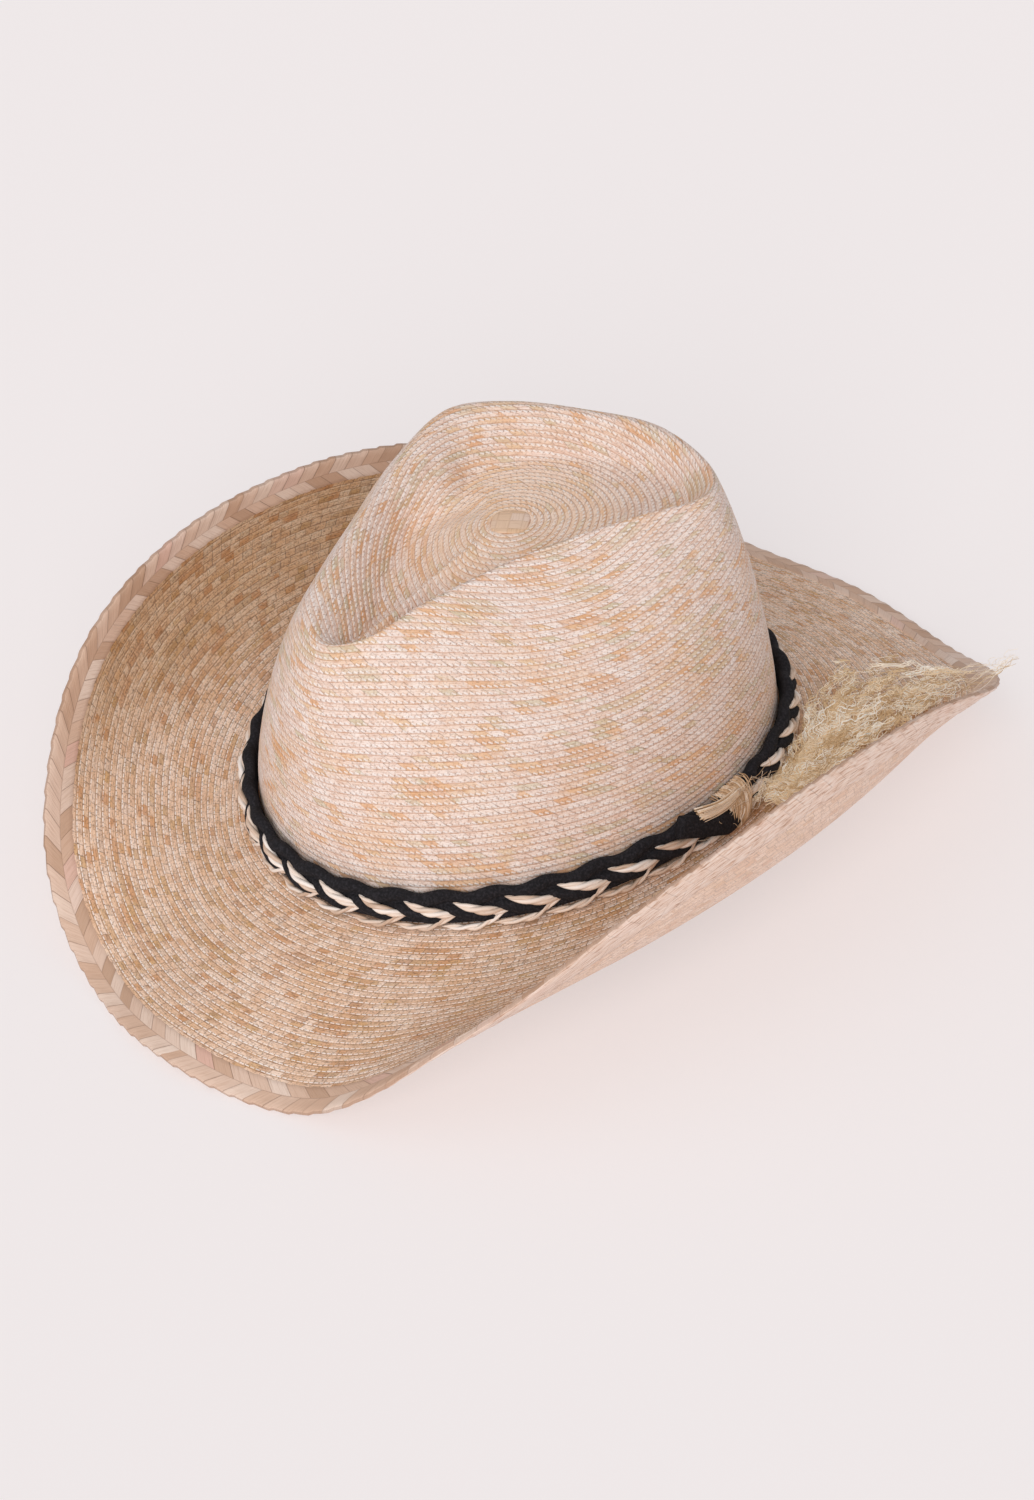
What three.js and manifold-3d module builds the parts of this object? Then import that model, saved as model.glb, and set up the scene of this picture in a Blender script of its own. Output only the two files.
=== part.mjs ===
// Straw cowboy hat of sewn palm braid, resting on the front and rear dips of its brim.
// Millimetres. -Y is the front, +X the wearer's left, +Z up.
// The working origin is the middle of the head opening, on the line where crown and brim meet.
import * as THREE from 'three';
import { mergeVertices } from 'three/addons/utils/BufferGeometryUtils.js';
import Module from 'manifold-3d';

const wasm = await Module();
wasm.setup();

// Driving sizes
const head_length = 193;      // inside the crown at the break line, front to back
const head_width = 172;       // inside the crown at the break line, side to side
const straw = 2;              // wall of sewn braid
const crown_height = 112;     // break line at the front to the highest ridge
const button_radius = 7;      // flat plaited button in the middle of the dent
const break_rise = 6;         // how much higher the break line is at the sides
const brim_width = 82.5;      // break line to the outer edge, along the straw
const edge_width = 11;        // flat braid sewn round the brim's edge
const edge_thickness = 2.6;
const band_height = 13.5;     // plaited cord band
const band_thickness = 6;
const band_strand = 5.5;      // one strand of the plait, across
const plait_length = 52;      // one full weave of the three strands, along the band
const knot_length = 10;       // wrap of natural cord round the joint of the band
const knot_wall = 3;
const knot_angle = 100;       // place of the wrap, from the front round the wearer's left
const cord_width = 8;         // cut end of the black cords
const cord_end_length = 20;
const tassel_thickness = 7;   // thickest part of the fringed lock
const tassel_crimp = 1.6;     // how far the lock waves to each side
const clearance = 0.3;        // between pieces that touch

// Handles of the crown's curves, as shares of the rise, run or drop of the stretch they shape
const wall_upright = 0.62;    // how far up the wall stays upright
const ridge_roll = 0.3;       // how broadly the wall rolls over to the ridge
const dent_roll = 0.38;       // how broadly the ridge rolls into the dent
const dent_foot_run = 0.2;    // how softly the dent's wall turns into its floor
const dent_foot_drop = 0.3;
const floor_start = 0.3;      // how level the floor leaves the foot of the dent
const floor_sink = 0.08;
const floor_level = 0.35;     // how level it comes to the button

// Steps in the faceted surfaces
const crown_columns = 56;
const wall_steps = 9;
const dent_steps = 5;
const floor_steps = 4;
const brim_columns = 64;
const brim_steps = 7;
const edge_steps = 2;
const steps_per_lobe = 4;

const half_length = head_length / 2 + straw;
const half_width = head_width / 2 + straw;

// Ridge of the crown and foot of its teardrop dent, a row for each 22.5 degrees from the front
// round the wearer's left. side, along and up are shares of half_width, half_length and
// crown_height. full says how far the wall below the ridge swells out, from 0 for a straight
// slant to 1 for a full dome: the front is pinched in on both sides.
const CROWN_FOLDS = [
  {
    ridge: { side: -0.02, along: -0.81, up: 0.85 }, full: 0.95,
    foot: { side: -0.03, along: -0.68, up: 0.78 },
  },
  {
    ridge: { side: 0.14, along: -0.72, up: 0.88 }, full: 0.75,
    foot: { side: 0.02, along: -0.61, up: 0.75 },
  },
  {
    ridge: { side: 0.23, along: -0.51, up: 0.94 }, full: 0.75,
    foot: { side: 0.09, along: -0.41, up: 0.77 },
  },
  {
    ridge: { side: 0.34, along: -0.21, up: 0.98 }, full: 0.8,
    foot: { side: 0.19, along: -0.16, up: 0.82 },
  },
  {
    ridge: { side: 0.45, along: 0.03, up: 1.0 }, full: 0.9,
    foot: { side: 0.3, along: 0.04, up: 0.86 },
  },
  {
    ridge: { side: 0.55, along: 0.27, up: 1.0 }, full: 1.0,
    foot: { side: 0.4, along: 0.26, up: 0.87 },
  },
  {
    ridge: { side: 0.61, along: 0.53, up: 0.97 }, full: 0.9,
    foot: { side: 0.44, along: 0.5, up: 0.88 },
  },
  {
    ridge: { side: 0.43, along: 0.69, up: 0.95 }, full: 0.85,
    foot: { side: 0.29, along: 0.61, up: 0.87 },
  },
  {
    ridge: { side: 0.1, along: 0.71, up: 0.97 }, full: 1.0,
    foot: { side: 0.06, along: 0.61, up: 0.86 },
  },
  {
    ridge: { side: -0.18, along: 0.59, up: 0.99 }, full: 1.0,
    foot: { side: -0.16, along: 0.52, up: 0.86 },
  },
  {
    ridge: { side: -0.43, along: 0.46, up: 1.0 }, full: 1.0,
    foot: { side: -0.32, along: 0.39, up: 0.86 },
  },
  {
    ridge: { side: -0.57, along: 0.29, up: 1.01 }, full: 0.95,
    foot: { side: -0.39, along: 0.22, up: 0.85 },
  },
  {
    ridge: { side: -0.54, along: 0.06, up: 0.98 }, full: 0.75,
    foot: { side: -0.33, along: 0.07, up: 0.83 },
  },
  {
    ridge: { side: -0.46, along: -0.17, up: 0.94 }, full: 0.55,
    foot: { side: -0.37, along: -0.12, up: 0.8 },
  },
  {
    ridge: { side: -0.36, along: -0.43, up: 0.9 }, full: 0.6,
    foot: { side: -0.28, along: -0.29, up: 0.77 },
  },
  {
    ridge: { side: -0.22, along: -0.69, up: 0.87 }, full: 0.9,
    foot: { side: -0.11, along: -0.51, up: 0.74 },
  },
];
const BUTTON = { side: 0, along: 0.08, up: 0.875 };

// Sections of the brim, a row for each 20 degrees from the front to the back, alike on both
// sides. Each section is an arc whose slope turns from start to end, in degrees; width is a
// share of brim_width.
const BRIM_SECTIONS = [
  { start: -18, end: -19, width: 0.99 },
  { start: -21, end: -17, width: 0.985 },
  { start: -25, end: 41, width: 0.98 },
  { start: -17, end: 78, width: 1.03 },
  { start: -11, end: 92, width: 1.015 },
  { start: -13, end: 94, width: 0.985 },
  { start: -19, end: 77, width: 0.965 },
  { start: -17, end: 26, width: 0.98 },
  { start: -16, end: -15, width: 0.99 },
  { start: -18, end: -19, width: 0.99 },
];

// Locks of the tassel from the knot outwards: angle round the hat, place across the brim as a
// share of its width, and gap to the straw and size of the lock as shares of tassel_thickness.
const LONG_LOCK = [
  { angle: 113, across: 0.16, gap: 0.25, width: 0.8, thickness: 0.7 },
  { angle: 119, across: 0.2, gap: 0.15, width: 1.3, thickness: 0.8 },
  { angle: 127, across: 0.26, gap: 0.12, width: 2.3, thickness: 1.0 },
  { angle: 135, across: 0.36, gap: 0.12, width: 3.3, thickness: 1.0 },
  { angle: 143, across: 0.5, gap: 0.1, width: 3.6, thickness: 0.9 },
  { angle: 148, across: 0.67, gap: 0.1, width: 3.1, thickness: 0.7 },
  { angle: 151, across: 0.83, gap: 0.12, width: 1.8, thickness: 0.45 },
];
const SHORT_LOCK = [
  { angle: 109, across: 0.2, gap: 0.12, width: 0.9, thickness: 0.7 },
  { angle: 114, across: 0.25, gap: 0.1, width: 1.2, thickness: 0.7 },
  { angle: 120, across: 0.3, gap: 0.1, width: 0.8, thickness: 0.4 },
];
const LOCK_ROOT = { width: 0.75, thickness: 0.75 };

const up = new THREE.Vector3(0, 0, 1);
const radians = THREE.MathUtils.degToRad;

// A smooth closed curve through the rows of a table, read by angle in degrees
function roundCurve(points) {
  const curve = new THREE.CatmullRomCurve3(points, true, 'catmullrom', 0.5);
  return (angle) => curve.getPoint(THREE.MathUtils.euclideanModulo(angle / 360, 1));
}

function angles(count) {
  return Array.from({ length: count }, (_, index) => (index * 360) / count);
}

// Closed skin over a stack of rings. With two poles the ends are closed by fans; without
// them the last ring joins the first, as in a tyre.
function skin(rings, poles) {
  const across = rings[0].length;
  const points = rings.flat();
  const faces = [];
  const spans = poles ? rings.length - 1 : rings.length;
  for (let i = 0; i < spans; i += 1) {
    const low = i * across;
    const high = ((i + 1) % rings.length) * across;
    for (let j = 0; j < across; j += 1) {
      const k = (j + 1) % across;
      faces.push(low + j, low + k, high + k, low + j, high + k, high + j);
    }
  }
  if (poles) {
    const first = points.push(poles[0]) - 1;
    const last = points.push(poles[1]) - 1;
    const top = (rings.length - 1) * across;
    for (let j = 0; j < across; j += 1) {
      const k = (j + 1) % across;
      faces.push(first, k, j, top + j, top + k, last);
    }
  }
  const geometry = new THREE.BufferGeometry().setFromPoints(points);
  geometry.setIndex(faces);
  geometry.computeVertexNormals();
  return geometry;
}

// Place on the break line and the direction out of the hat there
function breakLine(angle) {
  const turn = radians(angle);
  const rise = break_rise * Math.sin(turn) ** 2;
  const point = new THREE.Vector3(half_width * Math.sin(turn), -half_length * Math.cos(turn), rise);
  const out = new THREE.Vector3(Math.sin(turn) / half_width, -Math.cos(turn) / half_length, 0);
  return { point, out: out.normalize() };
}

// Crown
function crownPoint(share) {
  return new THREE.Vector3(
    share.side * half_width, share.along * half_length, share.up * crown_height);
}

const ridgeCurve = roundCurve(CROWN_FOLDS.map((row) => crownPoint(row.ridge)));
const footCurve = roundCurve(CROWN_FOLDS.map((row) => crownPoint(row.foot)));
const fullCurve = roundCurve(CROWN_FOLDS.map((row) => new THREE.Vector3(row.full, 0, 0)));
const button = crownPoint(BUTTON);

function flatDirection(from, to) {
  return new THREE.Vector3(to.x - from.x, to.y - from.y, 0).normalize();
}

// The upright wall of the crown at one angle, from the break line over to its ridge
function crownWall(angle) {
  const base = breakLine(angle).point;
  const ridge = ridgeCurve(angle);
  const run = Math.hypot(ridge.x - base.x, ridge.y - base.y);
  const inwards = flatDirection(base, ridge);
  const full = fullCurve(angle).x;
  return new THREE.CubicBezierCurve3(
    base,
    base.clone().addScaledVector(up, (ridge.z - base.z) * wall_upright * full),
    ridge.clone().addScaledVector(inwards, -run * ridge_roll * full),
    ridge,
  );
}

// Points of one column of the crown, from its lower edge over the ridge to the button
function crownColumn(angle) {
  const wall = crownWall(angle);
  const ridge = wall.v3;
  const foot = footCurve(angle);
  const inwards = flatDirection(wall.v0, ridge);
  const dentRun = Math.hypot(foot.x - ridge.x, foot.y - ridge.y);
  const dentDrop = foot.z - ridge.z;
  const toButton = flatDirection(foot, button);
  const floorEnd = button.clone().addScaledVector(toButton, -button_radius);
  const floorRun = foot.distanceTo(floorEnd);
  const dent = new THREE.CubicBezierCurve3(
    ridge,
    ridge.clone().addScaledVector(inwards, dentRun * dent_roll),
    foot.clone().addScaledVector(toButton, -dentRun * dent_foot_run)
      .addScaledVector(up, -dentDrop * dent_foot_drop),
    foot,
  );
  const floor = new THREE.CubicBezierCurve3(
    foot,
    foot.clone().addScaledVector(toButton, floorRun * floor_start)
      .addScaledVector(up, dentDrop * floor_sink),
    floorEnd.clone().addScaledVector(toButton, -floorRun * floor_level),
    floorEnd,
  );
  const column = wall.getSpacedPoints(wall_steps);
  column[0].z += clearance;
  column.push(...dent.getSpacedPoints(dent_steps).slice(1));
  column.push(...floor.getSpacedPoints(floor_steps).slice(1));
  return column;
}

// The same rings moved in by the wall, square to the surface
function thickened(rings) {
  const last = rings.length - 1;
  return rings.map((ring, i) => ring.map((point, j) => {
    if (i === last) return point.clone().addScaledVector(up, -straw);
    const along = ring[(j + 1) % ring.length].clone();
    along.sub(ring[(j + ring.length - 1) % ring.length]);
    const rise = rings[i + 1][j].clone().sub(rings[Math.max(i - 1, 0)][j]);
    if (i === 0) rise.copy(up);
    const outwards = along.cross(rise).normalize();
    const inner = point.clone().addScaledVector(outwards, -straw);
    if (i === 0) inner.z = point.z;
    return inner;
  }));
}

function crown() {
  const columns = angles(crown_columns).map(crownColumn);
  const outer = columns[0].map((_, i) => columns.map((column) => column[i]));
  const inner = thickened(outer);
  const under = button.clone().addScaledVector(up, -straw);
  return skin([...inner.reverse(), ...outer], [under, button]);
}

// Brim
const sectionCurve = roundCurve(
  [...BRIM_SECTIONS, ...BRIM_SECTIONS.slice(1, -1).reverse()]
    .map((row) => new THREE.Vector3(row.start, row.end, row.width)));

// Reach and rise of an arc of one length whose slope turns from start to end
function arcEnd(start, end, length) {
  const half = (end - start) / 2;
  const chord = half === 0 ? length : (length * Math.sin(half)) / half;
  const mean = (start + end) / 2;
  return [chord * Math.cos(mean), chord * Math.sin(mean)];
}

// A place on the upper side of the brim, and the direction out of the straw there
function brimPoint(angle, distance) {
  const { point, out } = breakLine(angle);
  const section = sectionCurve(angle);
  const start = radians(section.x);
  const slope = start + (radians(section.y - section.x) * distance) / brim_width;
  const [reach, rise] = arcEnd(start, slope, distance * section.z);
  const place = point.addScaledVector(out, reach).addScaledVector(up, rise);
  const face = out.multiplyScalar(-Math.sin(slope)).addScaledVector(up, Math.cos(slope));
  return { place, face };
}

// Rings of a sheet of straw between two distances across the brim, once round its section
function brimRings(from, to, steps, columns, raise, thickness) {
  const top = [];
  const bottom = [];
  for (let i = 0; i <= steps; i += 1) {
    const distance = to + (from - to) * (i / steps);
    const spots = angles(columns).map((angle) => brimPoint(angle, distance));
    top.push(spots.map(({ place, face }) => place.clone().addScaledVector(face, raise)));
    bottom.push(spots.map(({ place, face }) => (
      place.clone().addScaledVector(face, raise - thickness))));
  }
  return { top, bottom: bottom.reverse() };
}

function brim() {
  const { top, bottom } = brimRings(
    0, brim_width - edge_width - clearance * 2, brim_steps, brim_columns, 0, straw);
  const seat = angles(brim_columns).map((angle) => {
    const { point, out } = breakLine(angle);
    return point.addScaledVector(out, -straw);
  });
  const seatUnder = seat.map((point) => point.clone().addScaledVector(up, -straw));
  return skin([...top, seat, seatUnder, ...bottom]);
}

function edgeBraid() {
  const raise = (edge_thickness - straw) / 2;
  const { top, bottom } = brimRings(
    brim_width - edge_width, brim_width, edge_steps, brim_columns, raise, edge_thickness);
  return skin([...top, ...bottom]);
}

// Band
// A place on the outside of the crown's wall, a given height over the break line
function wallPoint(angle, height) {
  const wall = crownWall(angle);
  const halvings = 24;
  let low = 0;
  let high = 1;
  for (let i = 0; i < halvings; i += 1) {
    const middle = (low + high) / 2;
    if (wall.getPoint(middle).z - wall.v0.z < height) low = middle;
    else high = middle;
  }
  return wall.getPoint(low);
}

const girth = Math.PI * (half_width + half_length);
const weaves = Math.round(girth / plait_length);
const band_columns = weaves * 3 * steps_per_lobe;
const band_foot = clearance * 2;
const strand_swing = (band_height - band_strand) / 2;

// Where the band's two ends meet they are pulled together and pass through the knot
const waist_height = band_height * 0.62;
const waist_thickness = band_thickness * 0.8;
const band_belly = 0.85;      // where the rounded faces of the band turn over, as shares
const band_crown = 0.4;       // of its thickness and height
const band_round = 0.25;
const sleeve_inside = knot_wall + clearance * 2;
const round_per_degree = girth / 360;
const waist_reach = (knot_length / 2 + clearance) / round_per_degree;
const waist_taper = (knot_length * 1.2) / round_per_degree;

// 1 inside the knot, falling to 0 clear of it
function pulledIn(angle) {
  const away = Math.abs(THREE.MathUtils.euclideanModulo(angle - knot_angle + 180, 360) - 180);
  return 1 - THREE.MathUtils.smoothstep(away, waist_reach, waist_reach + waist_taper);
}

// Inner and outer face of the band at one angle, outwards from the wall
function bandFaces(angle) {
  const waist = pulledIn(angle);
  const inside = THREE.MathUtils.lerp(clearance, sleeve_inside, waist);
  return [inside, inside + THREE.MathUtils.lerp(band_thickness, waist_thickness, waist)];
}

// Section of the band at one angle, outwards from the wall and up from the break line
function bandSection(angle) {
  const weave = radians(angle) * weaves;
  const middle = band_foot + band_height / 2;
  const strands = [0, 1, 2].map((strand) => (
    middle + strand_swing * Math.sin(weave + (strand * 2 * Math.PI) / 3))).sort((a, b) => a - b);
  const waist = pulledIn(angle);
  const low = THREE.MathUtils.lerp(strands[0] - band_strand / 2, middle - waist_height / 2, waist);
  const high = THREE.MathUtils.lerp(strands[2] + band_strand / 2, middle + waist_height / 2, waist);
  const [inside, outside] = bandFaces(angle);
  const thickness = outside - inside;
  const round = (high - low) * band_round;
  const crest = THREE.MathUtils.lerp(strands[1], middle, waist);
  const reach = inside + thickness * band_belly;
  const brimDrop = brimPoint(angle, reach).place.z - breakLine(angle).point.z;
  const heel = THREE.MathUtils.lerp(low + brimDrop, low + round, waist);
  return [
    [inside, low], [reach, heel], [outside, crest], [reach, high - round],
    [inside + thickness * band_crown, high], [inside, high],
  ];
}

// A place near the band: outwards from the crown's wall and up from the break line
function bandPlace(angle, outwards, height) {
  return wallPoint(angle, height).addScaledVector(breakLine(angle).out, outwards)
    .setZ(breakLine(angle).point.z + height);
}

function band() {
  const sections = angles(band_columns).map((angle) => (
    bandSection(angle).map(([outwards, height]) => bandPlace(angle, outwards, height))));
  return skin(sections[0].map((_, i) => sections.map((section) => section[i])));
}

// Joins closed shapes into one body
function solid(geometry) {
  geometry.deleteAttribute('normal');
  geometry.deleteAttribute('uv');
  const plain = mergeVertices(geometry, 1e-5);
  return new wasm.Manifold(new wasm.Mesh({
    numProp: 3,
    vertProperties: new Float32Array(plain.attributes.position.array),
    triVerts: new Uint32Array(plain.index.array),
  }));
}

function fused(geometries) {
  const mesh = geometries.map(solid).reduce((joined, next) => joined.add(next)).getMesh();
  const geometry = new THREE.BufferGeometry();
  geometry.setAttribute('position', new THREE.BufferAttribute(mesh.vertProperties, 3));
  geometry.setIndex(new THREE.BufferAttribute(mesh.triVerts, 1));
  geometry.computeVertexNormals();
  return geometry;
}

// Rectangle with rounded corners, outwards and up
function roundedSection(width, height, corner) {
  const x = width / 2 - corner;
  const y = height / 2 - corner;
  const centres = [[x, y], [-x, y], [-x, -y], [x, -y]];
  return centres.flatMap(([across, rise], quarter) => [0, 30, 60, 90].map((turn) => {
    const angle = radians(turn + quarter * 90);
    return new THREE.Vector2(
      across + corner * Math.cos(angle), rise + corner * Math.sin(angle));
  }));
}

// Knot: natural cord wound round the pulled-in band, with its own cut end
const knot_middle_out = sleeve_inside + waist_thickness / 2;
const knot_middle_up = band_foot + band_height / 2;
const knot_passage_width = waist_thickness + clearance * 2;
const knot_passage_height = waist_height + clearance * 2;
const knot_turns = 3;
const knot_groove = 0.7;      // wall between two turns of the cord, as a share

function knotRing(angle, width, height, corner) {
  return roundedSection(width, height, corner).map((spot) => (
    bandPlace(angle, knot_middle_out + spot.x, knot_middle_up + spot.y)));
}

function bandKnot() {
  const half = knot_length / 2 / round_per_degree;
  const rings = [];
  for (let i = 0; i <= knot_turns * 2; i += 1) {
    const swell = i % 2 === 1 ? knot_wall : knot_wall * knot_groove;
    rings.push(knotRing(
      knot_angle + half - (2 * half * i) / (knot_turns * 2),
      knot_passage_width + swell * 2, knot_passage_height + swell * 2, knot_wall + swell / 2));
  }
  for (const side of [-half, half]) {
    rings.push(knotRing(
      knot_angle + side, knot_passage_width, knot_passage_height, clearance / 2));
  }
  return skin(rings);
}

// Cut end of the black cords, on the outside of the band just in front of the knot
const cord_end_lift = 0.2;    // height over the knot's middle, share of the cord's width
const cord_end_tip = 0.8;     // shares of the cord's width
const cord_end_corner = 0.35;
const cord_end_up = knot_middle_up + cord_width * cord_end_lift;
const CORD_END_PLACES = [0, 0.25, 0.5, 0.75, 0.92, 1];

function cordEnd() {
  const start = knot_angle - (knot_length / 2 + clearance) / round_per_degree;
  const reach = cord_end_length / round_per_degree;
  const middle = (share) => {
    const angle = start - reach * share;
    return [angle, bandFaces(angle)[1] + clearance * 2 + cord_width / 2];
  };
  const rings = CORD_END_PLACES.map((share) => {
    const [angle, outwards] = middle(share);
    const size = share === 1 ? cord_width * cord_end_tip : cord_width;
    return roundedSection(size, size, size * cord_end_corner).map((spot) => (
      bandPlace(angle, outwards + spot.x, cord_end_up + spot.y)));
  });
  return skin(rings, [0, 1].map((share) => bandPlace(...middle(share), cord_end_up)));
}

// Tassel: two crimped locks that come out of a small head at the knot and lie on the brim
const root_out = sleeve_inside + waist_thickness + clearance
  + (LOCK_ROOT.thickness * tassel_thickness) / 2;
const root_angle = knot_angle + (knot_length / 2 + clearance) / round_per_degree;
const root_lead = tassel_thickness / round_per_degree;
const head_lead = 0.75;       // where the head sits along the lead, as a share
const head_size = 1.15;       // against the root of the locks
const lock_corners = 8;
const steps_per_ripple = 4;
const settle_length = 0.2;    // share of a lock over which its crimp sets in
const long_ripples = 6;
const short_ripples = 3;

// Millimetres round the hat for each degree, at one place on the brim
function roundScale(angle, distance) {
  const ahead = brimPoint(angle + 0.5, distance).place;
  return ahead.distanceTo(brimPoint(angle - 0.5, distance).place);
}

// A lock laid on the brim, whose section bends with the straw under it. Its route holds
// degrees round the hat, millimetres across the brim and millimetres over the straw.
function lock(rows, ripples) {
  const places = rows.map((row) => new THREE.Vector3(
    row.angle, brim_width * row.across, (row.gap + row.thickness / 2) * tassel_thickness));
  const root = new THREE.Vector3(root_angle, root_out, knot_middle_up);
  const lead = new THREE.Vector3(root_angle + root_lead, root_out, knot_middle_up);
  const route = new THREE.CatmullRomCurve3([root, lead, ...places]);
  const sizes = new THREE.CatmullRomCurve3([LOCK_ROOT, LOCK_ROOT, ...rows].map((row) => (
    new THREE.Vector3(row.width, row.thickness, 0))));
  const spot = (angle, distance, height) => {
    const { place, face } = brimPoint(angle, distance);
    return place.addScaledVector(face, height);
  };
  const steps = ripples * steps_per_ripple;
  const rings = [];
  const middles = [];
  for (let i = 0; i <= steps; i += 1) {
    const share = i / steps;
    const { x: angle, y: distance, z: height } = route.getPoint(share);
    const scale = roundScale(angle, distance);
    const ahead = route.getTangent(share);
    const heading = new THREE.Vector2(ahead.x * scale, ahead.y).normalize();
    const { x: width, y: thickness } = sizes.getPoint(share);
    const settle = Math.min(share / settle_length, 1);
    const sway = tassel_crimp * Math.sin(share * ripples * 2 * Math.PI) * settle;
    const across = (side, rise) => spot(
      angle + (heading.y * side) / scale, distance - heading.x * side, height + rise);
    middles.push(across(sway, 0));
    rings.push(Array.from({ length: lock_corners }, (_, corner) => {
      const turn = (corner * 2 * Math.PI) / lock_corners;
      return across(
        sway + (Math.cos(turn) * width * tassel_thickness) / 2,
        (Math.sin(turn) * thickness * tassel_thickness) / 2);
    }));
  }
  return skin(rings, [middles[0], middles.at(-1)]);
}

function tasselHead() {
  const radius = (LOCK_ROOT.width * tassel_thickness) / 2;
  const { place, face } = brimPoint(root_angle + root_lead * head_lead, root_out);
  const head = new THREE.SphereGeometry(radius * head_size, lock_corners, lock_corners - 2);
  const middle = place.addScaledVector(face, knot_middle_up);
  return head.translate(middle.x, middle.y, middle.z);
}

function tassel() {
  return fused([lock(LONG_LOCK, long_ripples), lock(SHORT_LOCK, short_ripples), tasselHead()]);
}

const materials = {
  straw: { color: 0xd9c3a5, roughness: 0.75 },
  edge: { color: 0xcfae90, roughness: 0.7 },
  black: { color: 0x1b1b1d, roughness: 0.9 },
  natural: { color: 0xd8c69c, roughness: 0.85 },
};

function piece(name, geometry, finish) {
  const material = new THREE.MeshStandardMaterial({ ...materials[finish], metalness: 0 });
  const mesh = new THREE.Mesh(geometry, material);
  mesh.name = name;
  return mesh;
}

const hat = new THREE.Group();
hat.add(piece('crown', crown(), 'straw'));
hat.add(piece('brim', brim(), 'straw'));
hat.add(piece('edge_braid', edgeBraid(), 'edge'));
hat.add(piece('hat_band', band(), 'black'));
hat.add(piece('band_knot', bandKnot(), 'natural'));
hat.add(piece('cord_end', cordEnd(), 'black'));
hat.add(piece('tassel', tassel(), 'natural'));

// The part stands on its lowest edge, over the middle of its box
const box = new THREE.Box3().setFromObject(hat);
hat.position.set(-(box.min.x + box.max.x) / 2, -(box.min.y + box.max.y) / 2, -box.min.z);

const part = new THREE.Group();
part.add(hat);
export default part;
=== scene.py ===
import math
import random

import bmesh
import bpy
import numpy as np
from mathutils import Matrix, Vector


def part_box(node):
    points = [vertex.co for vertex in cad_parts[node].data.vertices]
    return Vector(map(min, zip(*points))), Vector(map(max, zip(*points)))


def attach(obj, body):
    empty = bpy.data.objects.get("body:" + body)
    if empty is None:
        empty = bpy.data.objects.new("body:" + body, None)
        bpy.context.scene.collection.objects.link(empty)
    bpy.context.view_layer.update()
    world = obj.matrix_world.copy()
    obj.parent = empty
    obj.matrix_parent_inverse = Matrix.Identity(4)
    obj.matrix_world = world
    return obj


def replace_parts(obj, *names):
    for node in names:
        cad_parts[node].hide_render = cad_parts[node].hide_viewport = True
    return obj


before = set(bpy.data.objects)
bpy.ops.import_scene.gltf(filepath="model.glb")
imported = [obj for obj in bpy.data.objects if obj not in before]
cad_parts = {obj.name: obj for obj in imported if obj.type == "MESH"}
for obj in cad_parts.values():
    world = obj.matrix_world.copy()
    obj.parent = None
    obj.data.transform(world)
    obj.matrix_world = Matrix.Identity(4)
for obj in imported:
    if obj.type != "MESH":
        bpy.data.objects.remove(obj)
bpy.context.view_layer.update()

# Everything is worked out in millimetres from the middle of the head opening, on the line
# where crown and brim meet at the front, and set down in metres at the end.
MM = 0.001
CLEARANCE = 0.3
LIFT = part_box("crown")[0][2] / MM - CLEARANCE

# Sizes of the hat's solids in millimetres, angles in degrees, and shares of a curve's run
STRAW = 2.0
HALF_WIDTH = 88.0
HALF_LENGTH = 98.5
CROWN_HEIGHT = 112.0
BUTTON_RADIUS = 7.0
BREAK_RISE = 6.0
BRIM_WIDTH = 82.5
EDGE_WIDTH = 11.0
EDGE_THICKNESS = 2.6
BAND_HEIGHT = 13.5
BAND_THICKNESS = 6.0
KNOT_LENGTH = 10.0
KNOT_WALL = 3.0
KNOT_ANGLE = 100.0
TASSEL_THICKNESS = 7.0
WALL_UPRIGHT = 0.62
RIDGE_ROLL = 0.3
DENT_ROLL = 0.38
DENT_FOOT_RUN = 0.2
DENT_FOOT_DROP = 0.3
FLOOR_START = 0.3
FLOOR_SINK = 0.08
FLOOR_LEVEL = 0.35
DEGREE = math.pi * (HALF_WIDTH + HALF_LENGTH) / 360     # one degree round the crown

# Sizes of what only the dressed hat shows
ROW = 2.4                # one row of the sewn braid, across
ROW_RELIEF = 0.17        # how far the lapped edge of a row stands over the next row
DENT_ROW = 60            # first row of the crown on the floor of its dent
UNDER_ROWS = 200         # added to the row numbers on the underside of the brim
CELL = 8.5               # one leaf of the edge's plait, along the brim
LEAF_SLANT = 0.65        # how far a leaf leans forward to the middle, as a share of CELL
LEAF_STEPS = (0.0, 0.04, 0.3, 0.5, 0.54, 0.8)     # places along a leaf
RIM_NOTCH = 0.8          # depth of the notches in the rim
SEAT_NOTCH = 0.5         # and of those on the inner side
EDGE_MIDDLE = 0.46       # where its two rows of leaves meet, as a share of its width
EDGE_SEAT = 0.35         # how far the leaves' feet lie below the plait's full thickness
LEAF_FOOT = 0.1          # height of a leaf over that where it comes out
LEAF_RISE = 0.4          # and how far it rises from there
EDGE_WAVER = 0.4         # how far the edge strays from an even line
LEAF_MARGIN = 0.001      # keeps the numbers at a leaf's corners within its own cell, along
ROW_MARGIN = 0.002       # and across
WEAVE = 18.0             # one weave of the band, along the crown
WAIST = 0.35             # share of the band's height that the knot draws in
WAIST_OUT = 0.6          # and how far the band comes out there
PLY_OFFSET = 0.5         # from a cord's middle to its plies', as a share of its radius
PLY_RADIUS = 0.62        # radius of a ply, as the same share
KNOT_FIBRES = 170        # fibres wound round the band
KNOT_ENDS = 120          # their cut ends
KNOT_HAIRS = 34          # loose hairs round the knot
NEAR_SIDE = 80.0         # angle round the hat where the ridge is pressed sharpest
NEAR_REACH = 60.0        # degrees to each side that are pressed as much
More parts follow.
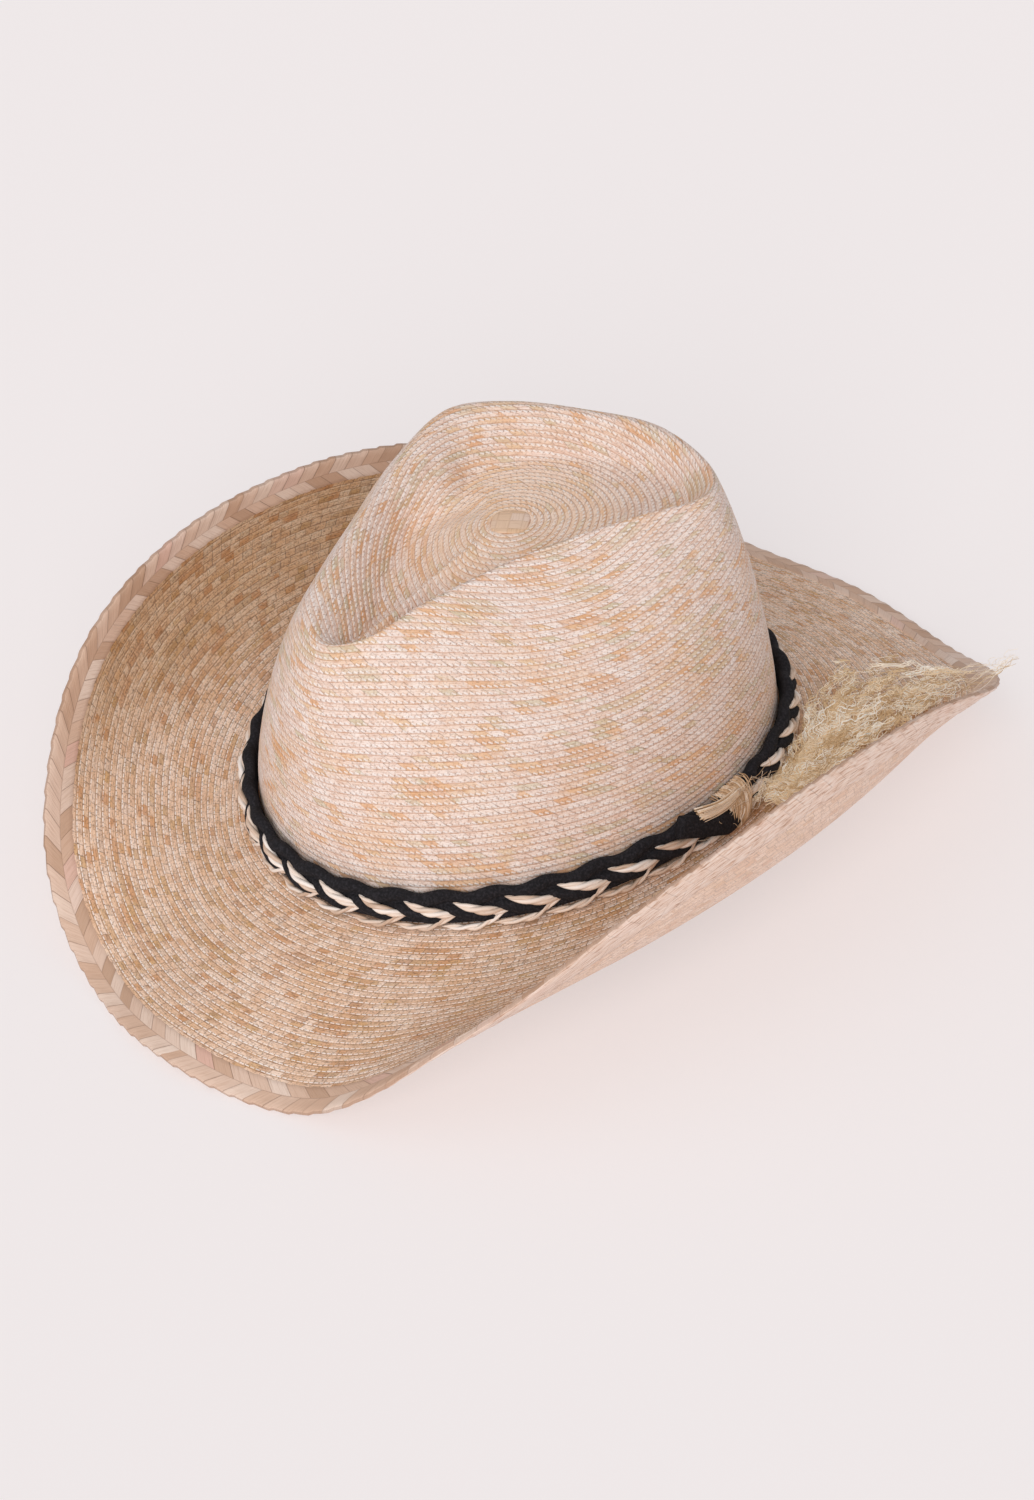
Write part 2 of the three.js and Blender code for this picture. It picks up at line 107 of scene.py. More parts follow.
NEAR_FADE = 40.0         # degrees over which the press fades out after that
NEAR_TIGHT = 0.75        # how much of the roll it takes out of the ridge
NEAR_FOOT = (0.25, 0.25, -0.1)     # how far it draws the dent's foot to the ridge, each way
WAVER = 0.12             # how far a row strays from an even surface
DENT_SHARE = 0.55        # share of the way to the button from which rows lap higher
DENT_FADE = 0.125        # and the share over which that comes in
BREAK_GAP = 0.02         # from the crown's lowest ring to the break line
CROWN_COLUMNS = 220
COLUMN_STEPS = (90, 60, 50)     # fine steps up the wall, into the dent and over its floor
WALL_STEPS = 40
WALL_RISING = 30         # those of them below the roll of the ridge, where height only rises
BRIM_COLUMNS = 320
EDGE_LAP = 1.5           # how far the brim's straw runs in under the plait
PALM_CHECK = 4.6         # one check of the plaited button

# Ridge of the crown and foot of its dent, every 22.5 degrees from the front round the
# wearer's left: ridge side, along, up, fullness of the wall, foot side, along, up
CROWN_FOLDS = [
    (-0.02, -0.81, 0.85, 0.95, -0.03, -0.68, 0.78),
    (0.14, -0.72, 0.88, 0.75, 0.02, -0.61, 0.75),
    (0.23, -0.51, 0.94, 0.75, 0.09, -0.41, 0.77),
    (0.34, -0.21, 0.98, 0.8, 0.19, -0.16, 0.82),
    (0.45, 0.03, 1.0, 0.9, 0.3, 0.04, 0.86),
    (0.55, 0.27, 1.0, 1.0, 0.4, 0.26, 0.87),
    (0.61, 0.53, 0.97, 0.9, 0.44, 0.5, 0.88),
    (0.43, 0.69, 0.95, 0.85, 0.29, 0.61, 0.87),
    (0.1, 0.71, 0.97, 1.0, 0.06, 0.61, 0.86),
    (-0.18, 0.59, 0.99, 1.0, -0.16, 0.52, 0.86),
    (-0.43, 0.46, 1.0, 1.0, -0.32, 0.39, 0.86),
    (-0.57, 0.29, 1.01, 0.95, -0.39, 0.22, 0.85),
    (-0.54, 0.06, 0.98, 0.75, -0.33, 0.07, 0.83),
    (-0.46, -0.17, 0.94, 0.55, -0.37, -0.12, 0.8),
    (-0.36, -0.43, 0.9, 0.6, -0.28, -0.29, 0.77),
    (-0.22, -0.69, 0.87, 0.9, -0.11, -0.51, 0.74),
]
BUTTON = np.array([0.0, 0.08 * HALF_LENGTH, 0.875 * CROWN_HEIGHT])
# Cosine and sine of the turn of the button's checks
BUTTON_COSINE = 0.8
BUTTON_SINE = 0.6
# The button's section from the rim to the middle: share of its radius, and height
BUTTON_SECTION = [(1.0, -0.6), (1.02, -0.1), (0.95, 0.2), (0.7, 0.4), (0.4, 0.5), (0.1, 0.5)]
BUTTON_CORNERS = 48
BUTTON_FILL = 0.95       # its width as a share of its seat's

# Sections of the brim every 20 degrees from the front to the back: slope at the crown,
# slope at the edge, share of the brim's width
BRIM_SECTIONS = [
    (-18, -19, 0.99), (-21, -17, 0.985), (-25, 41, 0.98), (-17, 78, 1.03), (-11, 92, 1.015),
    (-13, 94, 0.985), (-19, 77, 0.965), (-17, 26, 0.98), (-16, -15, 0.99), (-18, -19, 0.99),
]

# Locks of the tassel: angle round the hat, place across the brim as a share of its width,
# and gap to the straw, width and thickness as shares of the tassel's thickness
LONG_LOCK = [
    (113, 0.16, 0.25, 0.8, 0.7), (119, 0.2, 0.15, 1.3, 0.8), (127, 0.26, 0.12, 2.3, 1.0),
    (135, 0.36, 0.12, 3.3, 1.0), (143, 0.5, 0.1, 3.6, 0.9), (148, 0.67, 0.1, 3.1, 0.7),
    (151, 0.83, 0.12, 1.8, 0.45),
]
SHORT_LOCK = [
    (109, 0.2, 0.12, 0.9, 0.7), (114, 0.25, 0.1, 1.2, 0.7), (120, 0.3, 0.1, 0.8, 0.4),
]
LOCK_ROOT = 0.75
# Loose curls round the long lock, past the brim's edge at the end
TASSEL_CURLS = [
    (112, 0.16, 0.2, 1.0, 0.8), (119, 0.21, 0.15, 2.2, 1.1), (128, 0.28, 0.12, 4.2, 1.6),
    (136, 0.38, 0.12, 6.2, 2.0), (140, 0.52, 0.12, 7.2, 2.1), (141, 0.69, 0.12, 6.6, 1.7),
    (141, 0.87, 0.15, 4.8, 1.1), (140, 1.0, 0.2, 3.0, 0.7), (140, 1.14, 0.4, 1.6, 0.6),
]
STRAND_MARGIN = 0.02     # keeps the numbers round a cord within its own strand
FIBRE_STEP = 0.8         # length of one straight step of a fibre
FIBRE_GAP = 0.45         # least height of a fibre's middle over the straw
LEAST_POINTS = 5         # a fibre with fewer is left out
LOCK_STEPS = 120         # places at which the run of a lock is measured
CRIMP = (4.8, 8.0)       # shortest and longest wave of a wisp
BEND = 31                # length of the slow bends under the crimp
BEND_SWING = 0.45        # and how far they turn a fibre, in radians

# The photograph's camera: azimuth, elevation and roll in degrees, distance and shifts in
# millimetres from the middle of the head opening, focal length and height in pixels
VIEW_ANGLES = (51.0544, 37.3716, -7.0743)
VIEW_DISTANCE = 1675.0369
VIEW_SHIFT = (-1.5223, 1.4911)
FOCAL_PIXELS = 4652.9638
PHOTO_HEIGHT = 1500
SENSOR = 36

# Lights: name, azimuth, elevation, strength and spread, with distances and sizes in metres
LIGHTS = [("key", 42, 32, 1.5, 40), ("fill", 330, 50, 0.3, 60)]
LIGHT_DISTANCE = 3.0
SKY_STRENGTH = 0.52
SWEEP_SIZE = 8.0
SWEEP_GLOW = 0.5

# Where the painted shade of the far roll begins and is in full, across the hat in metres
FAR_ROLL_SHADE = (-0.09, -0.135)

# Tones of the straw, as (place, sRGB hex) stops
CROWN_GROUND = [(0.2, "e9cebe"), (0.45, "f2ddd1"), (0.6, "f7e9e1"), (0.8, "efd6c4")]
CROWN_ACCENTS = [(0.0, "eabb8c"), (0.3, "dfa36c"), (0.45, "eac69c"), (0.65, "dccdb4"),
                 (0.8, "cdc09e"), (1.0, "e9bd90")]
BRIM_GROUND = [(0.2, "e2b896"), (0.42, "f2cdb0"), (0.58, "fce2cf"), (0.8, "ecc494")]
BRIM_ACCENTS = [(0.0, "dca473"), (0.25, "d0915c"), (0.45, "dcae78"), (0.65, "cba173"),
                (0.85, "ecd3c0"), (1.0, "c38a5a")]
LEAF_TONES = [(0.0, "c4a188"), (0.15, "d2af97"), (0.4, "dbbba5"), (0.65, "e0c3b0"),
              (0.88, "ead5c6"), (1.0, "ddb4a3")]
WORN_TONES = [(0.32, "a87a5e"), (0.42, "dbb9a4"), (0.52, "ecd3c4"), (0.75, "f6e8de")]
BUTTON_TONES = [(0.0, "e3bf9c"), (0.5, "e8c9ae"), (1.0, "ead2c2")]

UP = np.array([0.0, 0.0, 1.0])
HALF_DEGREES = np.arange(720) / 2     # angles round the hat for the edge and the band


# Curves

def between(a, b, c, d, share):
    """The share of the way from b to c on a smooth curve from a to d."""
    start, end = (c - a) / 2, (d - b) / 2
    return ((2 * b - 2 * c + start + end) * share ** 3
            + (3 * c - 3 * b - 2 * start - end) * share ** 2 + start * share + b)


def round_curve(rows, angle):
    """A smooth closed curve through the rows of a table, read at angles in degrees."""
    rows = np.asarray(rows, float)
    place = np.mod(np.asarray(angle, float) / 360, 1) * len(rows)
    first = np.floor(place).astype(int)
    near = (rows[(first + step) % len(rows)] for step in (-1, 0, 1, 2))
    return between(*near, (place - first)[..., None])


def open_curve(points, share):
    """A smooth open curve through points, read at shares of its steps."""
    padded = np.concatenate([[2 * points[0] - points[1]], points, [2 * points[-1] - points[-2]]])
    place = np.clip(np.asarray(share), 0, 1 - 1e-9) * (len(points) - 1)
    first = np.floor(place).astype(int)
    near = (padded[first + step] for step in range(4))
    return between(*near, (place - first)[:, None])


def bezier(a, b, c, d, steps):
    """Cubic curves with handles: points by curve and step."""
    t = np.linspace(0, 1, steps)[:, None]
    a, b, c, d = (end[:, None, :] for end in (a, b, c, d))
    return a * (1 - t) ** 3 + 3 * b * t * (1 - t) ** 2 + 3 * c * t ** 2 * (1 - t) + d * t ** 3


def unit(vectors):
    """Directions of vectors, with length 1."""
    return vectors / np.maximum(np.linalg.norm(vectors, axis=-1, keepdims=True), 1e-9)


def level(vectors):
    """Directions laid flat."""
    return unit(vectors * np.array([1.0, 1.0, 0.0]))


def degrees_from(angle, middle):
    """How far round the hat an angle is from another, the shorter way."""
    return np.abs(np.mod(angle - middle + 180, 360) - 180)


def smooth_step(x):
    """0 at 0, 1 at 1 and smooth between."""
    x = np.clip(x, 0, 1)
    return x * x * (3 - 2 * x)


def noise(place, seed, waves=4):
    """Slow random waves from -1 to 1 round a closed line; place runs from 0 to 1."""
    draw = random.Random(seed)
    total = np.zeros_like(np.asarray(place, float))
    for wave in range(1, waves + 1):
        total += np.sin(2 * math.pi * (wave * place + draw.random())) * draw.uniform(0.5, 1)
    return total / waves


def break_line(angle):
    """Places on the line where crown and brim meet, and the level direction out of it."""
    turn = np.radians(angle)
    sine, cosine = np.sin(turn), np.cos(turn)
    point = np.stack([HALF_WIDTH * sine, -HALF_LENGTH * cosine, BREAK_RISE * sine ** 2], -1)
    out = unit(np.stack([sine / HALF_WIDTH, -cosine / HALF_LENGTH, 0 * sine], -1))
    return point, out


def crown_curves(angle):
    """Ends and handles of the crown's three stretches, for each angle."""
    folds = round_curve(CROWN_FOLDS, angle)
    away = degrees_from(np.asarray(angle), NEAR_SIDE)
    near = (1 - smooth_step((away - NEAR_REACH) / NEAR_FADE))[:, None]
    tight = 1 - NEAR_TIGHT * near
    size = np.array([HALF_WIDTH, HALF_LENGTH, CROWN_HEIGHT])
    base, _ = break_line(angle)
    ridge, foot = folds[:, 0:3] * size, folds[:, 4:7] * size
    full = folds[:, 3:4]
    foot = foot + (ridge - foot) * near * np.array(NEAR_FOOT)
    run = np.linalg.norm((ridge - base)[:, :2], axis=1)[:, None]
    inwards = level(ridge - base)
    wall = (base, base + UP * (ridge - base)[:, 2:3] * WALL_UPRIGHT * full,
            ridge - inwards * run * RIDGE_ROLL * full * tight, ridge)
    dent_run = np.linalg.norm((foot - ridge)[:, :2], axis=1)[:, None]
    drop = (foot - ridge)[:, 2:3]
    to_button = level(BUTTON - foot)
    dent = (ridge, ridge + inwards * dent_run * DENT_ROLL * tight,
            foot - to_button * dent_run * DENT_FOOT_RUN - UP * drop * DENT_FOOT_DROP, foot)
    end = BUTTON - to_button * BUTTON_RADIUS
    floor_run = np.linalg.norm(end - foot, axis=1)[:, None]
    floor = (foot,
             foot + to_button * floor_run * FLOOR_START + UP * drop * FLOOR_SINK,
             end - to_button * floor_run * FLOOR_LEVEL, end)
    return wall, dent, floor


def wall_point(angle, height):
    """Places on the outside of the crown's wall at heights over the break line."""
    wall = bezier(*crown_curves(angle)[0], WALL_STEPS)
    base, _ = break_line(angle)
    places = []
    for column, low, rise in zip(wall, base, np.broadcast_to(height, len(angle))):
        rising = column[:WALL_RISING]
        spot = [np.interp(rise, rising[:, 2] - low[2], rising[:, axis]) for axis in (0, 1)]
        places.append([*spot, low[2] + rise])
    return np.array(places)


def band_place(angle, outwards, height):
    """Places near the band: outwards from the wall and up from the break line."""
    angle = np.atleast_1d(np.asarray(angle, float))
    _, out = break_line(angle)
    return wall_point(angle, height) + out * np.broadcast_to(outwards, angle.shape)[:, None]


def brim_point(angle, distance):
    """Places on the upper side of the brim, at distances from the break line along the
    straw, and the direction out of the straw there."""
    angle, distance = np.broadcast_arrays(np.asarray(angle, float), distance)
    point, out = break_line(angle)
    rows = BRIM_SECTIONS + BRIM_SECTIONS[-2:0:-1]
    section = round_curve(rows, angle)
    start = np.radians(section[..., 0])
    slope = start + np.radians(section[..., 1] - section[..., 0]) * distance / BRIM_WIDTH
    half = (slope - start) / 2
    chord = distance * section[..., 2] * np.sinc(half / math.pi)
    mean = (start + slope) / 2
    place = (point + out * (chord * np.cos(mean))[..., None]
             + UP * (chord * np.sin(mean))[..., None])
    face = out * -np.sin(slope)[..., None] + UP * np.cos(slope)[..., None]
    return place, face


# Mesh making

def mesh_piece(name, work, material):
    """Makes the work one smooth piece of the hat, with its material and slot."""
    mesh = bpy.data.meshes.new(name)
    work.to_mesh(mesh)
    work.free()
    mesh.shade_smooth()
    mesh.materials.append(material)
    piece = bpy.data.objects.new(name, mesh)
    bpy.context.scene.collection.objects.link(piece)
    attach(piece, "root")
    return piece


def lay_grid(work, rings, uv, closed_rings=False):
    """A grid laid over rings of points, each ring closed. uv holds two numbers for each
    corner of each face: ring spans by columns by the four corners in order."""
    count, columns = rings.shape[:2]
    spans = count if closed_rings else count - 1
    sheet = new_work()
    bmesh.ops.create_grid(sheet, x_segments=columns, y_segments=spans, size=1)
    mesh = bpy.data.meshes.new("sheet")
    sheet.to_mesh(mesh)
    sheet.free()
    flat = np.empty(len(mesh.vertices) * 3, np.float32)
    mesh.vertices.foreach_get("co", flat)
    flat = flat.reshape(-1, 3)
    i = np.rint((flat[:, 1] + 1) / 2 * spans).astype(int)
    j = np.rint((flat[:, 0] + 1) / 2 * columns).astype(int)
    corner = np.empty(len(mesh.loops), np.int32)
    mesh.loops.foreach_get("vertex_index", corner)
    corner_i, corner_j = i[corner].reshape(-1, 4), j[corner].reshape(-1, 4)
    low_i, low_j = corner_i.min(1, keepdims=True), corner_j.min(1, keepdims=True)
    places = uv[low_i, low_j, 2 * (corner_i - low_i) + corner_j - low_j]
    mesh.uv_layers["braid"].data.foreach_set("uv", places.astype(np.float32).ravel())
    points = (rings[i % count, j % columns] + UP * LIFT) * MM
    mesh.vertices.foreach_set("co", points.astype(np.float32).ravel())
    work.from_mesh(mesh)
    bpy.data.meshes.remove(mesh)


def new_work():
    """An empty mesh in work, with the map that says where on the braid a face is."""
    work = bmesh.new()
    work.loops.layers.uv.new("braid")
    return work


def close_up(work):
    """Merges the seams of laid grids, fills open ends and turns all faces outwards."""
    bmesh.ops.remove_doubles(work, verts=work.verts, dist=1e-7)
    edges = [edge for edge in work.edges if edge.is_boundary]
    bmesh.ops.holes_fill(work, edges=edges, sides=0)
    bmesh.ops.recalc_face_normals(work, faces=work.faces)


def ring_shares(rings):
    """Share of its own length at each point of a closed ring, and the lengths."""
    steps = np.linalg.norm(np.roll(rings, -1, axis=1) - rings, axis=2)
    run = np.concatenate([np.zeros((len(rings), 1)), np.cumsum(steps, axis=1)], axis=1)
    return run / run[:, -1:], run[:, -1]


def surface_normals(rings, outward):
    """Normals of a net of closed rings, on the side that outward points to."""
    along = np.roll(rings, -1, axis=1) - np.roll(rings, 1, axis=1)
    rise = np.gradient(rings, axis=0)
    normal = unit(np.cross(along, rise))
    middle = len(rings) // 3
    if np.mean(np.sum(normal[middle] * outward[middle], axis=-1)) < 0:
        normal = -normal
    return normal


# Heights of a row of braid at places across it: each row laps over the one before it
LAP_UP = [(0.0, 0.0), (0.12, 0.9), (0.45, 1.0), (0.85, 0.45)]
LAP_OUT = [(0.0, 0.0), (0.2, 0.5), (0.6, 1.0), (0.92, 0.9)]
LAP_UNDER = [(0.0, 0.0), (0.3, 1.0), (0.8, 0.8)]
PLAIN = [(0.0, 0.5)]


def row_steps(rows, shape):
    """Places across the rows and the relief at each, ending in a groove."""
    places = [(row + place, rise) for row in range(rows) for place, rise in shape]
    return np.array(places + [(rows, shape[0][1])])


def straw_uv(rings, place):
    """Millimetres along each row, with one length for a whole row, and row numbers."""
    shares, lengths = ring_shares(rings)
    middle = np.minimum(np.floor((place[:-1] + place[1:]) / 2), place.max() - 1) + 0.5
    length = np.interp(middle, place, lengths)[:, None]
    if place[0] > place[-1]:
        length = np.interp(middle, place[::-1], lengths[::-1])[:, None]
    table = np.zeros((len(place) - 1, rings.shape[1], 4, 2))
    table[:, :, 0, 0] = shares[:-1, :-1] * length
    table[:, :, 1, 0] = shares[:-1, 1:] * length
    table[:, :, 2, 0] = shares[1:, :-1] * length
    table[:, :, 3, 0] = shares[1:, 1:] * length
    table[:, :, 0:2, 1] = place[:-1, None, None]
    table[:, :, 2:4, 1] = place[1:, None, None]
    return table


# Node materials

def linear(code):
    """Linear colour from an sRGB hex value."""
    parts = [int(code[i:i + 2], 16) / 255 for i in (0, 2, 4)]
    return [p / 12.92 if p <= 0.04045 else ((p + 0.055) / 1.055) ** 2.4 for p in parts] + [1.0]


def feed(tree, socket, value):
    """Sets an input to a value, or links it to an output or to the first output of a node."""
    if isinstance(value, bpy.types.Node):
        value = next(output for output in value.outputs if output.enabled)
    if isinstance(value, bpy.types.NodeSocket):
        tree.links.new(value, socket)
    else:
        socket.default_value = value


def add(tree, kind, *feeds, stops=(), **settings):
    """Adds a node with its settings and (place, hex colour) stops, and feeds the inputs that
    these leave open in their order."""
    node = tree.nodes.new("ShaderNode" + kind)
    for key, value in settings.items():
        setattr(node, key, value)
    for place, _ in stops[2:]:
        node.color_ramp.elements.new(place)
    for number, (place, code) in enumerate(stops):
        node.color_ramp.elements[number].position = place
        node.color_ramp.elements[number].color = linear(code)
    inputs = [socket for socket in node.inputs if socket.enabled]
    for socket, value in zip(inputs, feeds):
        feed(tree, socket, value)
    return node


# Settings of a Map Range node that goes smoothly from 0 to 1
SOFT = {"interpolation_type": "SMOOTHSTEP"}


def weighted(tree, *parts):
    """The sum of values, each times its weight."""
    total = None
    for value, weight in parts:
        part = value if weight == 1 else add(tree, "Math", value, weight, operation="MULTIPLY")
        total = part if total is None else add(tree, "Math", total, part, operation="ADD")
    return total


def away_from(tree, value, middle):
    """How far a value is from the middle, either way."""
    offset = add(tree, "Math", value, middle, operation="SUBTRACT")
    return add(tree, "Math", offset, operation="ABSOLUTE")


def stain(tree, colour, share, depth, other):
    """Lays another colour over colour, where share says and as deep as depth says."""
    amount = add(tree, "Math", share, depth, operation="MULTIPLY")
    return add(tree, "Mix", amount, colour, other, data_type="RGBA")


def start_material(name):
    """A new material, its node tree and its shader."""
    material = bpy.data.materials.new(name)
    material.use_nodes = True
    tree = material.node_tree
    return material, tree, tree.nodes["Principled BSDF"]


def finish_shader(tree, shader, colour, height, distance, strength, rough):
    """Colour, relief over a distance in metres, and roughness."""
    bump = add(tree, "Bump", strength, distance)
    feed(tree, bump.inputs["Height"], height)
    feed(tree, shader.inputs["Base Color"], colour)
    feed(tree, shader.inputs["Normal"], bump)
    feed(tree, shader.inputs["Roughness"], rough)


def braid_places(tree):
    """Place along and across the braid, from the piece's own map, and where it is the
    underside."""
    parts = add(tree, "SeparateXYZ", add(tree, "UVMap", uv_map="braid"))
    along, across = parts.outputs[0], parts.outputs[1]
    under = add(tree, "MapRange", across, UNDER_ROWS / 2, UNDER_ROWS / 2 + 1, **SOFT)
    return along, across, under


def grain(tree, along, across, scales, detail=2.0, seed=0.0):
    """Noise from 0 to 1 in the plane of the braid, with a scale each way."""
    x = add(tree, "Math", along, scales[0], operation="MULTIPLY")
    y = add(tree, "Math", across, scales[1], operation="MULTIPLY")
    return add(tree, "TexNoise", add(tree, "CombineXYZ", x, y, seed), 1.0, detail)


def chances(tree, x, y):
    """Two random numbers for each whole x and y."""
    first = add(tree, "TexWhiteNoise", add(tree, "CombineXYZ", x, y), noise_dimensions="2D")
    second = add(tree, "SeparateColor", first.outputs["Color"])
    return first, second.outputs[1]


def sewn_straw(name, ground, warm, accents, leaf_length, leaf_lean, line, line_depth, gap,
               stitch_pitch, stitch_length, stitch_width, stitch_slant, stitch_place,
               stitch_depth):
    """Split palm leaf, plaited into flat braid and machine-sewn row over row with white
    thread. Gives a pale ground with single leaves in other straw tones, fine fibre streaks
    along the rows, a thin brown line at each row and a line of white stitches. The far roll
    is painted darker and its thread fainter, a painted shade, and the underside shows no
    thread. Lengths, widths and pitch are in mm and the slant in degrees, leaf_lean is in
    leaves for each row, stitch_place is a share of a row, and the depths say how strongly
    a colour shows."""
    material, tree, shader = start_material(name)
    along, across, under = braid_places(tree)
    upper = add(tree, "Math", 1.0, under, operation="SUBTRACT")
    row = add(tree, "Math", across, operation="FLOOR")
    place = add(tree, "Math", across, operation="FRACT")
    jitter = add(tree, "TexWhiteNoise", row, noise_dimensions="1D")
    spot = add(tree, "SeparateXYZ", add(tree, "TexCoord").outputs["Object"])
    # painted shade: mask of the darker far roll, by place across the hat
    far_roll_shade = add(tree, "MapRange", spot.outputs[0], *FAR_ROLL_SHADE, **SOFT)

    # leaves, with slanted ends where one passes under the next
    leaves = add(tree, "Math", along, leaf_length, operation="DIVIDE")
    cells = weighted(tree, (place, leaf_lean), (jitter, 7.3), (leaves, 1))
    own, second = chances(tree, add(tree, "Math", cells, operation="FLOOR"), row)
    tone = grain(tree, along, across, (0.11, 0.8), 3.0)
    colour = add(tree, "ValToRGB", weighted(tree, (tone, 0.7), (own, 0.3)), stops=ground)
    broad = grain(tree, along, across, (0.05, 0.13), 3.0, 7.0)
    warmer = add(tree, "MapRange", broad, 0.45, 0.68, **SOFT)
    colour = stain(tree, colour, warmer, 0.55, linear(warm))
    # odd leaves in other tones, in patches
    patches = grain(tree, along, across, (0.035, 0.2))
    chance = weighted(tree, (own, 1), (patches, 1.3))
    odd = add(tree, "MapRange", chance, 1.39, 1.47, **SOFT)
    colour = stain(tree, colour, odd, 0.75, add(tree, "ValToRGB", second, stops=accents))
    # leaves that stay in sight over two rows
    long_cell = add(tree, "Math", weighted(tree, (along, 0.08), (across, 0.2)), operation="FLOOR")
    two_rows = add(tree, "Math", weighted(tree, (across, 0.5), (300.0, 1)), operation="FLOOR")
    chance, tint = chances(tree, long_cell, two_rows)
    double = add(tree, "MapRange", chance, 0.89, 0.9, **SOFT)
    colour = stain(tree, colour, double, 0.5, add(tree, "ValToRGB", tint, stops=accents))

    # fibre streaks 0.3 to 0.5 mm wide along the row and a finer mottle
    fibres = grain(tree, along, across, (0.3, 5.5), 3.0, 4.0)
    mottle = grain(tree, along, across, (1.2, 3.2), 3.0, 11.0)
    streaks = add(tree, "MapRange", fibres, 0.46, 0.68, **SOFT)
    specks = add(tree, "MapRange", mottle, 0.48, 0.7, **SOFT)
    colour = stain(tree, colour, streaks, line_depth * 0.6, linear(line))
    colour = stain(tree, colour, specks, line_depth * 0.6, linear(gap))
    # painted light: the floor of the dent is painted a little warmer, to make up for the shade
    # that falls in it
    inside = add(tree, "MapRange", across, DENT_ROW - 5, DENT_ROW + 5, **SOFT)
    dent = add(tree, "Math", inside, upper, operation="MULTIPLY")
    colour = stain(tree, colour, dent, 0.3, linear("ffdcb8"))
    # slanted end of a leaf: sharp on some, hardly seen on others
    from_middle = away_from(tree, add(tree, "Math", cells, operation="FRACT"), 0.5)
    sharp = add(tree, "MapRange", second, 0.1, 0.9, **SOFT)
    end = add(tree, "MapRange", from_middle, 0.5 - 0.3 / leaf_length, 0.5, **SOFT)
    end = add(tree, "Math", end, sharp, operation="MULTIPLY")
    colour = stain(tree, colour, end, 0.7, linear(gap))
    # thin line where a row laps over the next
    groove = add(tree, "MapRange", away_from(tree, place, 0.5), 0.41, 0.49, **SOFT)
    broken = weighted(tree, (0.3, 1), (fibres, 1))
    groove = add(tree, "Math", groove, broken, operation="MULTIPLY")
    colour = stain(tree, colour, groove, line_depth, linear(line))

    # stitches of white thread, each with a dark needle hole
    cosine, sine = math.cos(math.radians(stitch_slant)), math.sin(math.radians(stitch_slant))
    stitches = add(tree, "Math", along, stitch_pitch, operation="DIVIDE")
    beat = add(tree, "Math", weighted(tree, (stitches, 1), (jitter, 5.1)), operation="FRACT")
    off_along = weighted(tree, (weighted(tree, (beat, 1), (-0.5, 1)), stitch_pitch))
    off_row = weighted(tree, (weighted(tree, (place, 1), (-stitch_place, 1)), ROW))
    down = add(tree, "Math", weighted(tree, (off_along, cosine), (off_row, sine)),
               operation="ABSOLUTE")
    side = add(tree, "Math", weighted(tree, (off_row, cosine), (off_along, -sine)),
               operation="ABSOLUTE")
    long = add(tree, "MapRange", down, stitch_length * 0.56, stitch_length * 0.42, **SOFT)
    wide = add(tree, "MapRange", side, stitch_width * 0.75, stitch_width * 0.4, **SOFT)
    stitch = add(tree, "Math", long, wide, operation="MULTIPLY")
    near_row = add(tree, "MapRange", add(tree, "Math", off_row, operation="ABSOLUTE"),
                   0.45, 0.15, **SOFT)
    near_end = add(tree, "MapRange", add(tree, "Math", off_along, operation="ABSOLUTE"),
                   stitch_pitch * 0.4, stitch_pitch * 0.49, **SOFT)
    hole = add(tree, "Math", near_row, near_end, operation="MULTIPLY")
    # thread that is clear in some stretches and sunk into the straw in others
    stretch = weighted(tree, (0.45, 1), (add(tree, "MapRange", tone, 0.35, 0.6, **SOFT), 1))
    # painted shade: the thread shows less on the far roll
    shown = weighted(tree, (far_roll_shade, -0.8), (1.0, 1))
    shown = add(tree, "Math", upper, shown, operation="MULTIPLY")
    clear = add(tree, "Math", stretch, shown, operation="MULTIPLY")
    clear = add(tree, "Math", clear, 1.0, operation="MINIMUM")
    colour = stain(tree, colour, hole, weighted(tree, (clear, 0.6)), linear(gap))
    colour = stain(tree, colour, stitch, weighted(tree, (clear, stitch_depth)),
                   linear("fdf6f3"))
    # painted shade: the far roll is multiplied darker
    colour = add(tree, "Mix", far_roll_shade, colour, linear("dcd4c3"), data_type="RGBA",
                 blend_type="MULTIPLY")
    colour = stain(tree, colour, under, 0.5, linear("ecd2c4"))

    thread = add(tree, "Math", stitch, clear, operation="MULTIPLY")
    sunk = weighted(tree, (end, 1), (hole, 1))
    height = weighted(tree, (thread, 0.7), (fibres, 0.8), (sunk, -0.5), (mottle, 0.6))
    finish_shader(tree, shader, colour, height, distance=0.00025, strength=0.7, rough=0.55)
    return material


